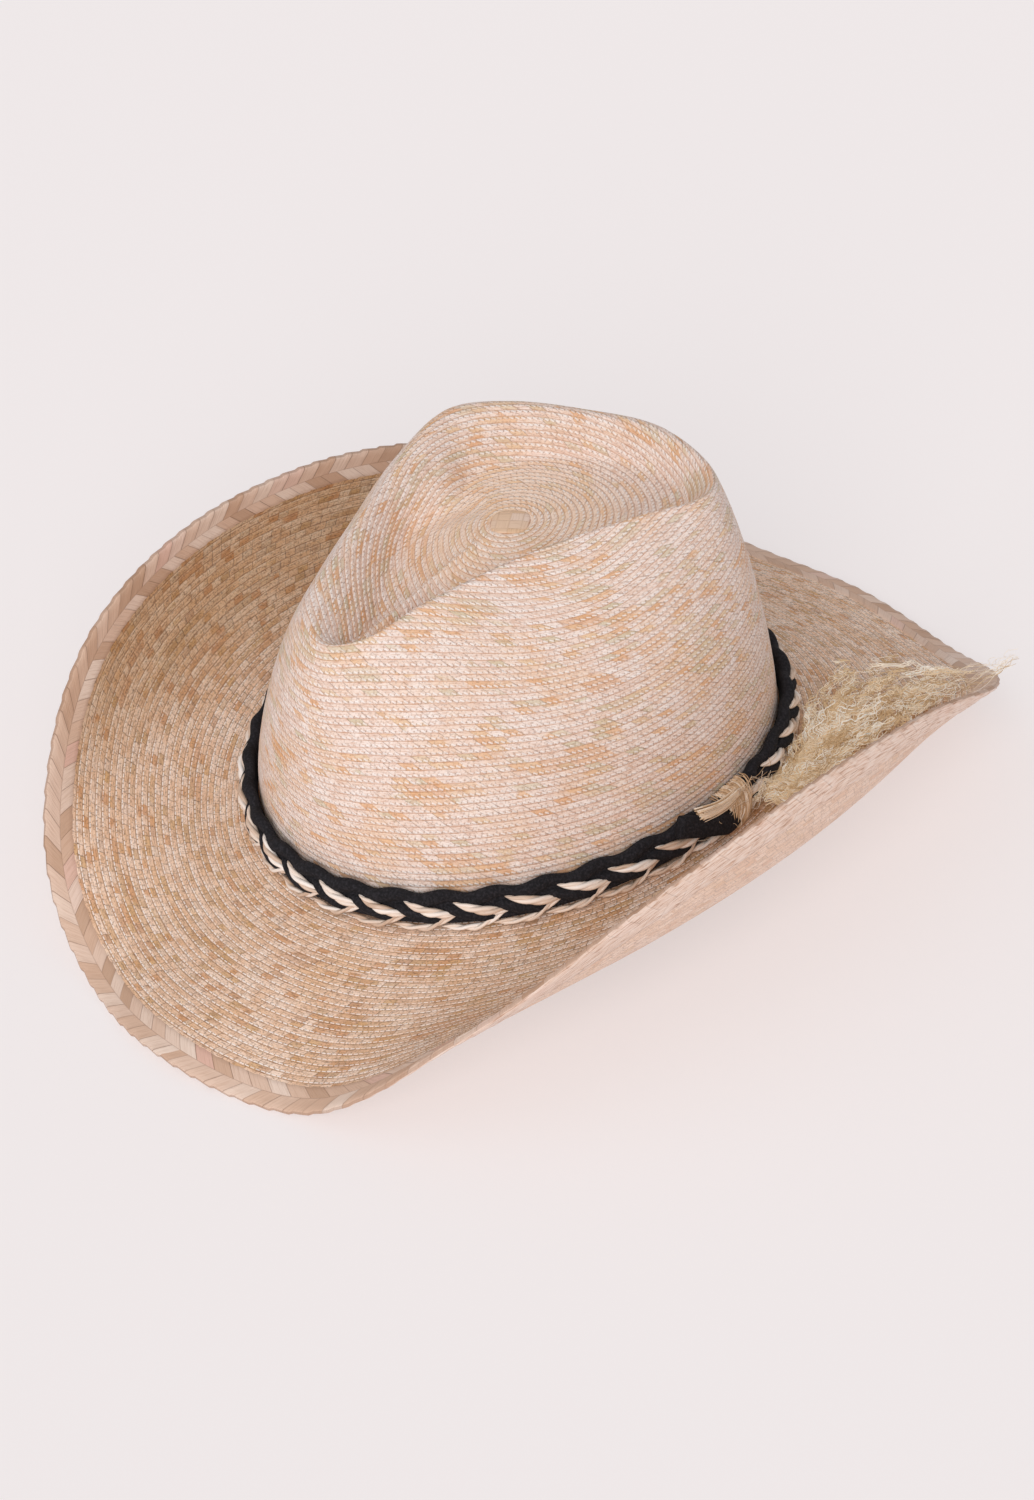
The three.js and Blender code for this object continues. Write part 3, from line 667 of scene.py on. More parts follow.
def plaited_leaf():
    """Wide split palm leaf, plaited flat for the edge. Each leaf shows as a smooth slanted
    cell in pinkish straw, cream or grey-brown, with fine streaks along it and a thin dark
    line where it passes under the next. The underside is worn to even, streaky fibre."""
    material, tree, shader = start_material("plaited palm leaf")
    along, across, under = braid_places(tree)
    own, second = chances(tree, add(tree, "Math", along, operation="FLOOR"),
                          add(tree, "Math", across, operation="FLOOR"))
    colour = add(tree, "ValToRGB", own, stops=LEAF_TONES)
    fibres = grain(tree, along, across, (18.0, 0.9), 3.0)
    streaks = add(tree, "MapRange", fibres, 0.45, 0.7, **SOFT)
    colour = stain(tree, colour, streaks, 0.35, linear("b48c70"))
    from_cell = away_from(tree, add(tree, "Math", along, operation="FRACT"), 0.5)
    from_row = away_from(tree, add(tree, "Math", across, operation="FRACT"), 0.5)
    end = add(tree, "MapRange", from_cell, 0.46, 0.5, **SOFT)
    middle = add(tree, "MapRange", from_row, 0.46, 0.5, **SOFT)
    depth = weighted(tree, (second, 0.6), (0.3, 1))
    end = add(tree, "Math", end, depth, operation="MULTIPLY")
    seam = add(tree, "Math", end, weighted(tree, (middle, 0.35)), operation="MAXIMUM")
    colour = add(tree, "Mix", seam, colour, linear("8a6148"), data_type="RGBA")
    worn = grain(tree, along, across, (1.1, 9.0), 4.0, 5.0)
    colour = stain(tree, colour, under, 0.85, add(tree, "ValToRGB", worn, stops=WORN_TONES))
    worn_height = add(tree, "Math", worn, under, operation="MULTIPLY")
    height = weighted(tree, (fibres, 1), (worn_height, 1), (seam, -1.5))
    finish_shader(tree, shader, colour, height, distance=0.00025, strength=0.6, rough=0.5)
    return material


def plaited_button():
    """Strips of palm leaf plaited over and under at the start of the braid. Gives small
    square checks with streaks that run across each other."""
    material, tree, shader = start_material("plaited palm button")
    spot = add(tree, "SeparateXYZ", add(tree, "TexCoord").outputs["Object"])
    from_button = weighted(tree, (spot.outputs[1], 1), (-BUTTON[1] * MM, 1))
    x = weighted(tree, (spot.outputs[0], 1 / (PALM_CHECK * MM)))
    y = weighted(tree, (from_button, 1 / (PALM_CHECK * MM)))
    u = weighted(tree, (x, BUTTON_COSINE), (y, BUTTON_SINE))
    v = weighted(tree, (y, BUTTON_COSINE), (x, -BUTTON_SINE))
    cell_u, cell_v = (add(tree, "Math", value, operation="FLOOR") for value in (u, v))
    own, _ = chances(tree, cell_u, cell_v)
    colour = add(tree, "ValToRGB", own, stops=BUTTON_TONES)
    over = add(tree, "Math", weighted(tree, (cell_u, 1), (cell_v, 1)), 1.0, operation="PINGPONG")
    below = weighted(tree, (over, -1.0), (1.0, 1))
    lengthways = grain(tree, u, v, (0.6, 9.0))
    sideways = grain(tree, u, v, (9.0, 0.6))
    streak = weighted(tree, (add(tree, "Math", over, lengthways, operation="MULTIPLY"), 1),
                      (add(tree, "Math", below, sideways, operation="MULTIPLY"), 1))
    lines = add(tree, "MapRange", streak, 0.45, 0.7, **SOFT)
    colour = stain(tree, colour, lines, 0.35, linear("bd9570"))
    off_u, off_v = (away_from(tree, add(tree, "Math", value, operation="FRACT"), 0.5)
                    for value in (u, v))
    seam = add(tree, "Math", off_u, off_v, operation="MAXIMUM")
    seam = add(tree, "MapRange", seam, 0.4, 0.5, **SOFT)
    colour = stain(tree, colour, seam, 0.16, linear("a67c5c"))
    height = weighted(tree, (streak, 1), (seam, -0.5))
    finish_shader(tree, shader, colour, height, distance=0.0002, strength=0.8, rough=0.5)
    return material


def cotton_cord():
    """Black cotton cord, knitted and brushed: matt and slightly fuzzy, with lint about 1 mm
    across and no clear thread."""
    material, tree, shader = start_material("black cotton cord")
    lint = add(tree, "TexNoise", add(tree, "TexCoord").outputs["Object"], 1100.0, 3.0, 0.7)
    pale = add(tree, "MapRange", lint, 0.4, 0.75, **SOFT)
    colour = add(tree, "Mix", pale, linear("1c1b1e"), linear("353338"), data_type="RGBA")
    finish_shader(tree, shader, colour, lint, distance=0.0005, strength=0.8, rough=0.95)
    shader.inputs["Specular IOR Level"].default_value = 0.2
    return material


def agave_fibre(name, low, middle, high, glow):
    """Agave fibre, combed and either spun or left loose: pale straw strands with a slight
    silky shine, each a little different in tone. Thin fibres pass light on to each other,
    which a small glow stands for."""
    material, tree, shader = start_material(name)
    along, across, _ = braid_places(tree)
    strand = add(tree, "Math", across, operation="FLOOR")
    own = add(tree, "TexWhiteNoise", strand, noise_dimensions="1D")
    streak = grain(tree, along, across, (0.25, 9.0))
    tone = weighted(tree, (own, 0.6), (streak, 0.4))
    colour = add(tree, "ValToRGB", tone, stops=[(0.1, low), (0.45, middle), (0.85, high)])
    finish_shader(tree, shader, colour, streak, distance=0.0002, strength=0.5, rough=0.45)
    feed(tree, shader.inputs["Emission Color"], colour)
    shader.inputs["Emission Strength"].default_value = glow
    return material


# Crown and brim

def crown_columns(angle):
    """Finely stepped lines up the crown, over its ridge and down to the button."""
    wall, dent, floor = (bezier(*curve, steps)
                         for curve, steps in zip(crown_curves(angle), COLUMN_STEPS))
    return np.concatenate([wall, dent[:, 1:], floor[:, 1:]], axis=1)


def crown_net(columns, shares):
    """Points of the crown at shares of each line's length."""
    net = np.zeros((len(shares), len(columns), 3))
    for j, column in enumerate(columns):
        steps = np.linalg.norm(np.diff(column, axis=0), axis=1)
        run = np.concatenate([[0], np.cumsum(steps)])
        for axis in range(3):
            net[:, j, axis] = np.interp(shares, run / run[-1], column[:, axis])
    return net


def wander(angle, places, seed, waves=6):
    """Slow waver of each row of braid, from -1 to 1."""
    return np.stack([noise(angle / 360, seed + int(place), waves) for place in places])


def straw_skin(name, outer, inner, uv_outer, uv_inner, material, closed):
    """A closed wall of straw from two nets of rings; the second runs back under the first."""
    work = new_work()
    rings = np.concatenate([outer, inner[::-1]])
    parts = [uv_outer, uv_outer[-1:], uv_inner[::-1][:, :, [2, 3, 0, 1]]]
    if closed:
        parts.append(uv_outer[:1])
    lay_grid(work, rings, np.concatenate(parts), closed_rings=closed)
    close_up(work)
    return mesh_piece(name, work, material)


def make_crown(material):
    """Rows of lapped braid up the crown and into its dent, and the plain inside."""
    angle = np.arange(CROWN_COLUMNS) * 360 / CROWN_COLUMNS
    columns = crown_columns(angle)
    run = np.linalg.norm(np.diff(columns, axis=1), axis=2).sum(axis=1).mean()
    rows = round(run / ROW)
    nets, maps = [], []
    for shape, depth in ((LAP_UP, 0.0), (PLAIN, STRAW)):
        steps = row_steps(rows, shape)[::-1]
        net = crown_net(columns, steps[:, 0] / rows)
        normal = surface_normals(net, net - UP * CROWN_HEIGHT / 3)
        dented = smooth_step((steps[:, 0:1] / rows - DENT_SHARE) / DENT_FADE)
        relief = (steps[:, 1:2] - 1) * ROW_RELIEF * (1 + dented)
        relief = relief + wander(angle, steps[:, 0], seed=11) * WAVER
        net = net + normal * (relief - depth)[..., None]
        net[-1, :, 2] = break_line(angle)[0][:, 2] + BREAK_GAP
        nets.append(net)
        maps.append(straw_uv(net, steps[:, 0]))
    return straw_skin("crown_straw", *nets, *maps, material, closed=False)


def make_brim(material):
    """Rows of lapped braid over the brim, and its underside with rows of its own."""
    angle = np.arange(BRIM_COLUMNS) * 360 / BRIM_COLUMNS
    width = BRIM_WIDTH - EDGE_WIDTH + EDGE_LAP
    rows = round(width / ROW)
    nets, maps = [], []
    for shape, side in ((LAP_OUT, 1), (LAP_UNDER, -1)):
        steps = row_steps(rows, shape)
        place, face = brim_point(angle[None, :], steps[:, 0:1] / rows * width)
        relief = (steps[:, 1:2] - 1) * ROW_RELIEF
        if side < 0:
            relief = -STRAW - relief
        else:
            relief = relief + wander(angle, steps[:, 0], seed=211) * WAVER
        line, out = break_line(angle)
        seat = line - out * STRAW - UP * (STRAW if side < 0 else 0)
        net = np.concatenate([seat[None], place + face * relief[..., None]])
        nets.append(net)
        # the seat under the crown counts as half a row before the first
        table = straw_uv(net, np.concatenate([[-0.5], steps[:, 0]]))
        table[..., 1] += UNDER_ROWS if side < 0 else 0
        maps.append(table)
    return straw_skin("brim_straw", *nets, *maps, material, closed=True)


def make_button(material):
    """The plaited start of the braid, a low square pad in the middle of the dent."""
    turn = np.arange(BUTTON_CORNERS) / BUTTON_CORNERS * 2 * math.pi
    square = (np.abs(np.cos(turn)) ** 3 + np.abs(np.sin(turn)) ** 3) ** (-1 / 3)
    spin = turn + math.atan2(BUTTON_SINE, BUTTON_COSINE)
    rings = []
    for share, rise in BUTTON_SECTION:
        radius = BUTTON_RADIUS * BUTTON_FILL * share * square
        rings.append(BUTTON + np.stack([radius * np.cos(spin), radius * np.sin(spin),
                                        0 * spin + rise], -1))
    work = new_work()
    lay_grid(work, np.stack(rings), np.zeros((len(rings) - 1, len(turn), 4, 2)))
    close_up(work)
    return mesh_piece("button_plait", work, material)


def make_edge(material):
    """Flat plait round the edge: two rows of slanted leaf cells on each face, each leaf
    rising from under the one behind it, and a notch in the rim at every leaf."""
    _, lengths = ring_shares(brim_point(HALF_DEGREES[None], BRIM_WIDTH)[0])
    cells = round(lengths[0] / CELL)
    base = np.array([cell + step for cell in range(cells) for step in LEAF_STEPS])
    ends = np.append(base, cells)
    middle = EDGE_MIDDLE
    # places across the plait, from the brim's straw to the rim
    across = [0.0, 0.05, middle * 0.4, middle * 0.7, middle - 0.03, middle, middle + 0.03,
              0.58, 0.76, 0.94, 1.0]
    rings, shares = [], []
    for side in (1, -1):
        for share in across[::side]:
            # each cell slants forward from both edges to the middle
            slant = -LEAF_SLANT * min(share / middle, (1 - share) / (1 - middle))
            angle = (base - slant) / cells * 360
            phase = 1 - np.mod(base + (0.5 if share > middle else 0.0), 1)
            inside = share / middle if share < middle else (1 - share) / (1 - middle)
            swell = max(1 - abs(inside - 0.5) * 1.2, 0.3)
            stray = noise(angle / 360, seed=5, waves=9) * EDGE_WAVER
            distance = BRIM_WIDTH - EDGE_WIDTH * (1 - share) + stray
            if share > 0.9:
                distance = distance + (np.mod(base, 1) - 0.6) * RIM_NOTCH
            if share < 0.1:
                distance = distance + (np.mod(base + 0.5, 1) - 0.5) * SEAT_NOTCH
            rise = LEAF_FOOT + LEAF_RISE * phase * swell
            if share in (0.0, 1.0):
                rise = np.full_like(phase, -EDGE_SEAT)
            spot, face = brim_point(angle, distance)
            height = side * (EDGE_THICKNESS / 2 - EDGE_SEAT + rise) - STRAW / 2
            rings.append(spot + face * height[:, None])
            shares.append(share)
    count = len(rings)
    table = np.zeros((count, len(base), 4, 2))
    for i in range(count):
        low, high = shares[i], shares[(i + 1) % count]
        outer = (low + high) / 2 > middle
        table[i, :, 0::2, 0] = ends[:-1, None] + (0.5 if outer else 0.0) + LEAF_MARGIN
        table[i, :, 1::2, 0] = ends[1:, None] + (0.5 if outer else 0.0) - LEAF_MARGIN
        for corners, share in ((slice(0, 2), low), (slice(2, 4), high)):
            inside = (share - middle) / (1 - middle) if outer else share / middle
            inside = min(max(inside, ROW_MARGIN), 1 - ROW_MARGIN) + (1 if outer else 0)
            table[i, :, corners, 1] = inside + (0 if i < len(across) else UNDER_ROWS)
    work = new_work()
    lay_grid(work, np.stack(rings), table, closed_rings=True)
    close_up(work)
    return mesh_piece("edge_plait", work, material)


# Cords and fibres

def tube(work, path, radius, sides, outs, closed, squash=1.0, strand=0, corner=1.0):
    """A cord laid along a path. outs says which way its first side faces at each point,
    squash how thick it is that way, and corner below 1 squares its section."""
    ahead = np.gradient(path, axis=0)
    if closed:
        ahead = np.roll(path, -1, axis=0) - np.roll(path, 1, axis=0)
    ahead = unit(ahead)
    first = unit(outs - ahead * np.sum(outs * ahead, axis=1, keepdims=True))
    second = np.cross(ahead, first)
    turn = np.arange(sides) / sides * 2 * math.pi
    flat, tall = (np.sign(wave) * np.abs(wave) ** corner for wave in (np.cos(turn), np.sin(turn)))
    radius = np.broadcast_to(radius, len(path))[:, None, None]
    rings = (path[:, None] + first[:, None] * flat[None, :, None] * radius * squash
             + second[:, None] * tall[None, :, None] * radius)
    steps = np.linalg.norm(np.diff(path, axis=0, append=path[:1] if closed else path[-1:]),
                           axis=1)
    run = np.concatenate([[0], np.cumsum(steps)])
    spans = len(path) if closed else len(path) - 1
    table = np.zeros((spans, sides, 4, 2))
    table[:, :, 0:2, 0] = run[:spans, None, None]
    table[:, :, 2:4, 0] = run[1:spans + 1, None, None]
    around = strand + STRAND_MARGIN + (1 - 2 * STRAND_MARGIN) * np.arange(sides + 1) / sides
    table[:, :, [0, 2], 1] = around[None, :-1, None]
    table[:, :, [1, 3], 1] = around[None, 1:, None]
    lay_grid(work, rings, table, closed_rings=closed)


def waist(angle):
    """1 inside the knot, falling to 0 clear of it."""
    away = degrees_from(angle, KNOT_ANGLE) * DEGREE
    return 1 - smooth_step((away - KNOT_LENGTH / 2 - CLEARANCE) / KNOT_LENGTH)


def in_band(angle, outwards, height):
    """Places in the band, drawn together where the knot is tied round it."""
    pull = waist(angle)
    middle = BAND_HEIGHT / 2
    height = middle + (height - middle) * (1 - WAIST * pull) + CLEARANCE
    return band_place(angle, outwards + pull * WAIST_OUT, height)


def twisted(work, angle, outwards, height, radius, plies, turns, strand):
    """Natural cord spun of plies round its own line."""
    share = np.linspace(0, 1, len(angle))
    for ply in range(plies):
        spin = 2 * math.pi * (share * turns + ply / plies)
        path = in_band(angle, outwards + np.cos(spin) * radius * PLY_OFFSET,
                       height + np.sin(spin) * radius * PLY_OFFSET)
        _, out = break_line(angle)
        tube(work, path, radius * PLY_RADIUS, sides=6, outs=out, closed=False,
             strand=strand + ply)


def make_band(black, natural):
    """Plait of black and natural cord. Long natural floats cross its front, natural cord
    loops along its lower edge, and black cord fills the rest."""
    black_work, natural_work = new_work(), new_work()
    angle = HALF_DEGREES
    _, out = break_line(angle)
    ring = band_place(angle, outwards=3.0, height=6.0)
    weaves = round(ring_shares(ring[None])[1][0] / WEAVE)
    step = 360 / weaves
    wave = 2 * math.pi * angle / step
    # flat core, lower cord, and upper cord that snakes from weave to weave
    tube(black_work, in_band(angle, outwards=2.5, height=6.3), radius=5.2, sides=12, outs=out,
         closed=True, squash=0.42)
    tube(black_work, in_band(angle, outwards=3.2, height=2.7), radius=1.9, sides=10, outs=out,
         closed=True)
    tube(black_work, in_band(angle, 3.5 + 0.5 * np.cos(wave), 11.1 + 0.85 * np.sin(wave)),
         radius=2.5 + 0.25 * np.cos(wave), sides=12, outs=out, closed=True, squash=0.85)
    draw = random.Random(31)
    share = np.linspace(0, 1, 18)
    taper = np.maximum(np.sin(share * math.pi), 0.02)
    for weave in range(weaves):
        middle = weave * step
        _, away = break_line(middle + (share - 0.5) * step)
        loose = draw.uniform(-0.4, 0.4)
        # black lobe, natural float over it, and natural loop along the lower edge
        path = in_band(middle + (share * 1.1 - 0.78) * step, 3.9 + 1.5 * taper,
                       8.4 - 6.2 * share)
        tube(black_work, path, radius=2.4 * taper ** 0.4, sides=10, outs=away, closed=False,
             squash=0.9)
        twisted(natural_work, middle + (share - 0.5) * 1.08 * step, 4.6 + 1.8 * taper,
                9.9 + loose - 5.2 * share, radius=1.6 * taper ** 0.55, plies=3,
                turns=draw.uniform(0.8, 1.3), strand=weave * 8)
        rise = smooth_step((share - 0.45) / 0.55)
        twisted(natural_work, middle + (share * 1.4 - 0.82) * step,
                4.6 + 1.6 * taper - 0.8 * rise, 0.3 + 4.6 * rise + loose * taper,
                radius=1.2 * taper ** 0.25, plies=2, turns=draw.uniform(1.6, 2.2),
                strand=weave * 8 + 4)
    for work in (black_work, natural_work):
        close_up(work)
    band = mesh_piece("band_black_cord", black_work, black)
    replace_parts(band, "hat_band")
    mesh_piece("band_natural_cord", natural_work, natural)


def strand_along(work, points, steps, radius, sides, strand):
    """A fibre through (angle, outwards, up) points near the band."""
    angle, outwards, height = open_curve(np.asarray(points, float), np.linspace(0, 1, steps)).T
    _, out = break_line(angle)
    tube(work, band_place(angle, outwards, height), radius, sides, out + UP * 0.3, False,
         strand=strand)


def make_knot(natural):
    """Natural fibre wound over the pulled-in band, its cut end lying to the front, and a
    few loose hairs. Points are (angle, outwards, up) near the band."""
    work = new_work()
    draw = random.Random(17)
    for number in range(KNOT_FIBRES):
        across = KNOT_ANGLE - 0.7 + draw.uniform(-4.4, 4.4) / DEGREE
        lean = draw.gauss(1.3, 1.1)
        reach = draw.uniform(-0.9, 0.5) + 0.5 * math.cos((number % 11) / 11 * math.pi)
        points = [(across + lean, 2.0, 13.4), (across + lean * 0.9, 5.6 + reach, 13.6 + reach),
                  (across + lean * 0.5, 8.6 + reach, 10.4), (across, 9.2 + reach, 5.4),
                  (across - lean * 0.4, 7.9 + reach, 0.6), (across - lean * 0.5, 4.8, -0.6)]
        points = [tuple(value + draw.gauss(0, 0.22) for value in point) for point in points]
        strand_along(work, points, steps=20, radius=draw.uniform(0.14, 0.28), sides=4,
                     strand=number)
    for number in range(KNOT_ENDS):
        rise, depth = draw.uniform(-1, 1), draw.uniform(-1, 1)
        length = draw.uniform(0.72, 1.1)
        root = (KNOT_ANGLE + 0.5, 7.4 + depth, 12.6 + rise * 1.6)
        middle = (KNOT_ANGLE - 5.4, 8.8 + depth * 1.3, 13.6 + rise * 2.0)
        tip = (KNOT_ANGLE - 5.4 - 6.2 * length, 9.2 + depth * 1.7,
               13.2 + rise * 2.6 + length * 3)
        strand_along(work, [root, middle, tip], steps=10, radius=draw.uniform(0.13, 0.27),
                     sides=4, strand=200 + number)
    for number in range(KNOT_HAIRS):
        start = KNOT_ANGLE + draw.uniform(-5, 4)
        up, out = draw.uniform(2, 15), draw.uniform(8.5, 9.8)
        turn = draw.choice((-1, 1, 1))
        points = [(start, out - 1, up)]
        for step in range(1, 5):
            points.append((start + turn * step * draw.uniform(0.9, 2.4),
                           out + draw.uniform(-0.6, 1.6), up + draw.uniform(-3, 3.5)))
        strand_along(work, points, steps=22, radius=0.1, sides=3, strand=300 + number)
    close_up(work)
    knot = mesh_piece("knot_fibre", work, natural)
    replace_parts(knot, "band_knot")


def make_cord_end(black):
    """Cut end of the black cords, flattened, standing out level in front of the knot."""
    work = new_work()
    # (angle, outwards, up)
    points = np.array([(KNOT_ANGLE + 1, 6.4, 6.0), (KNOT_ANGLE - 4, 8.6, 5.6),
                       (KNOT_ANGLE - 8, 9.0, 9.0), (KNOT_ANGLE - 16.6, 9.2, 16.8)])
    angle, outwards, height = open_curve(points, np.linspace(0, 1, 30)).T
    _, out = break_line(angle)
    size = 3.5 + 0.6 * smooth_step(np.linspace(0, 2, 30))
    tube(work, band_place(angle, outwards, height), radius=size, sides=20,
         outs=out + UP * 0.2, closed=False, squash=0.42, corner=0.6)
    close_up(work)
    end = mesh_piece("cut_cord_end", work, black)
    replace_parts(end, "cord_end")


def lock_route(rows):
    """Route of a lock in brim coordinates and its half sizes, at shares along it."""
    places = [[a, BRIM_WIDTH * b, (gap + thick / 2) * TASSEL_THICKNESS]
              for a, b, gap, _, thick in rows]
    root_out = KNOT_WALL + CLEARANCE * 3 + BAND_THICKNESS * 0.8 + LOCK_ROOT * TASSEL_THICKNESS / 2
    root = KNOT_ANGLE + (KNOT_LENGTH / 2 + CLEARANCE) / DEGREE
    up = 0.6 + BAND_HEIGHT / 2
    lead = TASSEL_THICKNESS / DEGREE
    points = np.array([[root, root_out, up], [root + lead, root_out, up], *places])
    sizes = np.array([[LOCK_ROOT, LOCK_ROOT]] * 2 + [[w, t] for *_, w, t in rows])
    return points, sizes * TASSEL_THICKNESS / 2


def curled_fibres(work, rows, wisps, each, seed, radius, lengths, since, sway, curl, first=0):
    """Crimped fibres in wisps whose waves lie side by side. A wisp starts somewhere in the
    since range of the lock, heads off its line by sway, and swings by curl at each wave.
    Strand numbers, which set the tones, count up from first."""
    points, sizes = lock_route(rows)
    shares = np.linspace(0, 1, LOCK_STEPS)
    angle, distance, _ = open_curve(points, shares).T
    spots, _ = brim_point(angle, distance)
    run = np.concatenate([[0], np.cumsum(np.linalg.norm(np.diff(spots, axis=0), axis=1))])
    draw = random.Random(seed)
    for number in range(wisps):
        away, turn = math.sqrt(draw.random()), draw.uniform(0, 2 * math.pi)
        side, rise = math.cos(turn) * away, math.sin(turn) * away
        begin = draw.uniform(*since) * run[-1]
        lean = draw.gauss(0, sway) + side * 0.2
        wave, swing = draw.uniform(*CRIMP), curl * draw.uniform(0.7, 1.15)
        phase, slow = draw.uniform(0, 2 * math.pi), draw.uniform(0, 2 * math.pi)
        for fibre in range(each):
            length = draw.uniform(*lengths)
            steps = np.arange(int(length / FIBRE_STEP)) * FIBRE_STEP
            beat = 2 * math.pi * steps / (wave * draw.uniform(0.97, 1.03)) + phase
            heading = (lean + swing * np.sin(beat + draw.uniform(-0.3, 0.3))
                       + BEND_SWING * np.sin(2 * math.pi * steps / BEND + slow))
            along = begin + draw.gauss(0, 1.2) + np.cumsum(np.cos(heading)) * FIBRE_STEP
            along = along[(along > 0) & (along < run[-1])]
            if len(along) < LEAST_POINTS:
                continue
            count = len(along)
            share = np.interp(along, run, shares)
            middle, size = open_curve(points, share), open_curve(sizes, share)
            angle, distance, height = middle.T
            place, _ = brim_point(angle, distance)
            ahead, _ = brim_point(angle + 0.5, distance)
            scale = np.linalg.norm(ahead - place, axis=1) * 2
            step = open_curve(points, np.minimum(share + 0.01, 1)) - open_curve(
                points, np.minimum(share + 0.01, 1) - 0.02)
            head = unit(np.stack([step[:, 0] * scale, step[:, 1]], -1))
            across = np.cumsum(np.sin(heading))[:count] * FIBRE_STEP + draw.gauss(0, 0.7)
            off = side * size[:, 0] * 0.9 + across
            bob = np.sin(beat[:count] * 0.5 + slow) * 0.9 + draw.gauss(0, 0.5)
            up = height + rise * size[:, 1] + bob
            spot, face = brim_point(angle + head[:, 1] * off / scale,
                                    distance - head[:, 0] * off)
            path = spot + face * np.maximum(up, FIBRE_GAP)[:, None]
            tube(work, path, radius * draw.uniform(0.75, 1.25), 3, face, False,
                 strand=first + number * each + fibre // 4)


def make_tassel(natural):
    """Combed agave fibre fanning out over the brim: crimped locks inside, loose curls round
    them, a short lock below, and hairs that reach past the brim's edge."""
    work = new_work()
    curled_fibres(work, LONG_LOCK, wisps=46, each=8, seed=41, radius=0.17, lengths=(34, 62),
                  since=(0.0, 0.35), sway=0.1, curl=0.75)
    curled_fibres(work, SHORT_LOCK, wisps=9, each=7, seed=44, radius=0.19, lengths=(12, 26),
                  since=(0.0, 0.4), sway=0.1, curl=0.9, first=900)
    close_up(work)
    locks = mesh_piece("tassel_lock", work, natural)
    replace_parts(locks, "tassel")
    work = new_work()
    curled_fibres(work, TASSEL_CURLS, wisps=150, each=7, seed=43, radius=0.14,
                  lengths=(9, 27), since=(0.08, 0.72), sway=0.4, curl=1.25, first=1000)
    curled_fibres(work, TASSEL_CURLS, wisps=150, each=1, seed=47, radius=0.07,
                  lengths=(16, 30), since=(0.2, 0.92), sway=0.75, curl=0.8, first=2100)
    close_up(work)
    mesh_piece("tassel_fluff", work, natural)


# Camera, floor and light

def aim(obj, place, target):
    """Puts an object at a place, its -Z axis to the target."""
    obj.location = place
    obj.rotation_euler = (Vector(target) - Vector(place)).to_track_quat("-Z", "Y").to_euler()


def set_camera():
    """The photograph's view of the hat."""
    azimuth, elevation, roll = (math.radians(angle) for angle in VIEW_ANGLES)
    back = Vector((math.sin(azimuth) * math.cos(elevation),
                   -math.cos(azimuth) * math.cos(elevation), math.sin(elevation)))
    right = Vector((math.cos(azimuth), math.sin(azimuth), 0))
    upright = back.cross(right)
    across = right * math.cos(roll) + upright * math.sin(roll)
    rise = upright * math.cos(roll) - right * math.sin(roll)
    place = (back * VIEW_DISTANCE + across * VIEW_SHIFT[0] + rise * VIEW_SHIFT[1]
             + Vector((0, 0, LIFT))) * MM
    data = bpy.data.cameras.new("camera")
    data.lens = FOCAL_PIXELS / PHOTO_HEIGHT * SENSOR
    data.sensor_width = SENSOR
    data.clip_start = 0.05
    data.clip_end = 50
    camera = bpy.data.objects.new("camera", data)
    turn = Matrix((across, rise, back)).transposed().to_4x4()
    camera.matrix_world = Matrix.Translation(place) @ turn
    bpy.context.scene.collection.objects.link(camera)
    bpy.context.scene.camera = camera


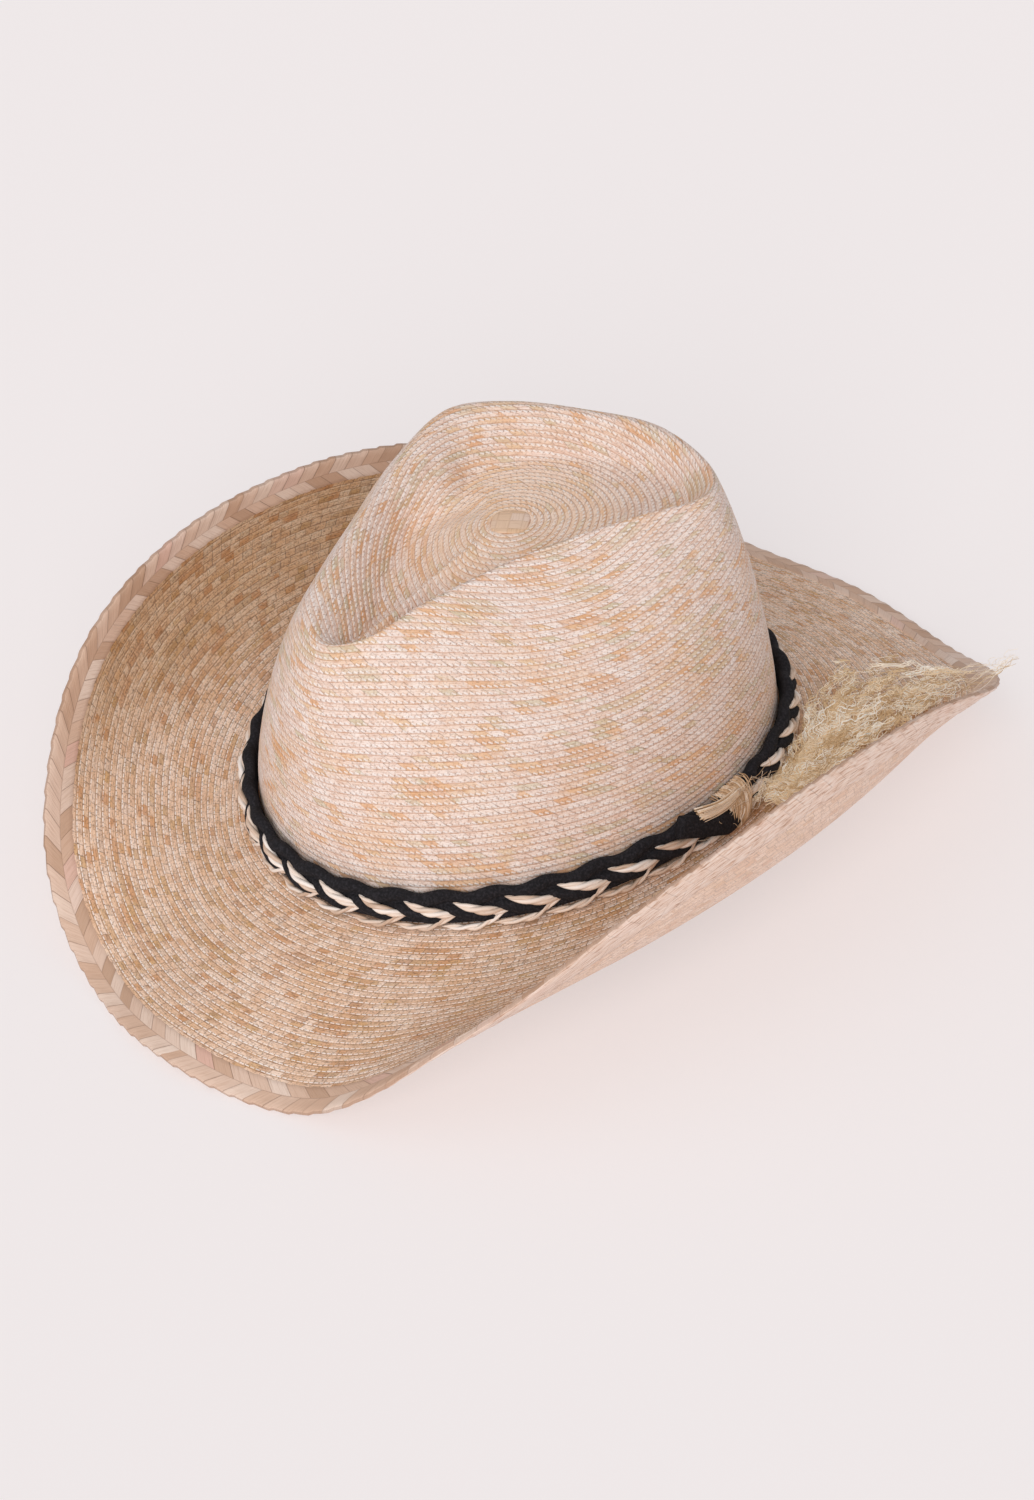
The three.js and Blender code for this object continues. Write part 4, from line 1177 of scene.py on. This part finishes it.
def set_stage():
    """A pale sweep lit from behind, so that shadows stay faint, and two wide soft lights."""
    work = bmesh.new()
    bmesh.ops.create_grid(work, x_segments=2, y_segments=2, size=SWEEP_SIZE)
    mesh = bpy.data.meshes.new("floor")
    work.to_mesh(mesh)
    work.free()
    floor = bpy.data.objects.new("floor", mesh)
    bpy.context.scene.collection.objects.link(floor)
    material, tree, shader = start_material("matt translucent sweep")
    shader.inputs["Base Color"].default_value = linear("beb9ba")
    shader.inputs["Roughness"].default_value = 0.95
    shader.inputs["Specular IOR Level"].default_value = 0.0
    shader.inputs["Emission Color"].default_value = linear("f0ecec")
    shader.inputs["Emission Strength"].default_value = SWEEP_GLOW
    mesh.materials.append(material)

    world = bpy.data.worlds.new("studio")
    world.use_nodes = True
    sky = world.node_tree.nodes["Background"]
    sky.inputs[0].default_value = linear("fbf8f8")
    sky.inputs[1].default_value = SKY_STRENGTH
    bpy.context.scene.world = world
    bpy.context.scene.view_settings.view_transform = "Standard"

    for name, turn, rise, energy, spread in LIGHTS:
        data = bpy.data.lights.new(name, "SUN")
        data.energy = energy
        data.angle = math.radians(spread)
        data.color = linear("fffcfa")[:3]
        light = bpy.data.objects.new(name, data)
        bpy.context.scene.collection.objects.link(light)
        turn, rise = math.radians(turn), math.radians(rise)
        place = Vector((math.sin(turn) * math.cos(rise), -math.cos(turn) * math.cos(rise),
                        math.sin(rise))) * LIGHT_DISTANCE
        aim(light, place, (0, 0, 0))


# The hat, put together

set_camera()
set_stage()

crown_straw = sewn_straw(
    "sewn palm braid of the crown", CROWN_GROUND, "edc8a6", CROWN_ACCENTS, leaf_length=5.2,
    leaf_lean=0.65, line="bd7f52", line_depth=0.75, gap="8a6654", stitch_pitch=2.1,
    stitch_length=1.6, stitch_width=0.5, stitch_slant=-26, stitch_place=0.3, stitch_depth=0.7)
brim_straw = sewn_straw(
    "sewn palm braid of the brim", BRIM_GROUND, "e8b98c", BRIM_ACCENTS, leaf_length=4.6,
    leaf_lean=0.3, line="8f6646", line_depth=0.9, gap="604635", stitch_pitch=2.2,
    stitch_length=1.6, stitch_width=0.3, stitch_slant=0, stitch_place=0.8, stitch_depth=0.85)
leaf = plaited_leaf()
black = cotton_cord()
spun = agave_fibre("spun agave fibre", "b9967a", "ead6c6", "faf2ec", 0.03)
wound = agave_fibre("wound agave fibre", "a8805c", "dcbb95", "faefe2", 0.08)
loose = agave_fibre("loose agave fibre", "a07a4c", "e6cba4", "fffdf8", 0.18)

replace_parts(make_crown(crown_straw), "crown")
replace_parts(make_brim(brim_straw), "brim")
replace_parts(make_edge(leaf), "edge_braid")
make_button(plaited_button())
make_band(black, spun)
make_knot(wound)
make_cord_end(black)
make_tassel(loose)
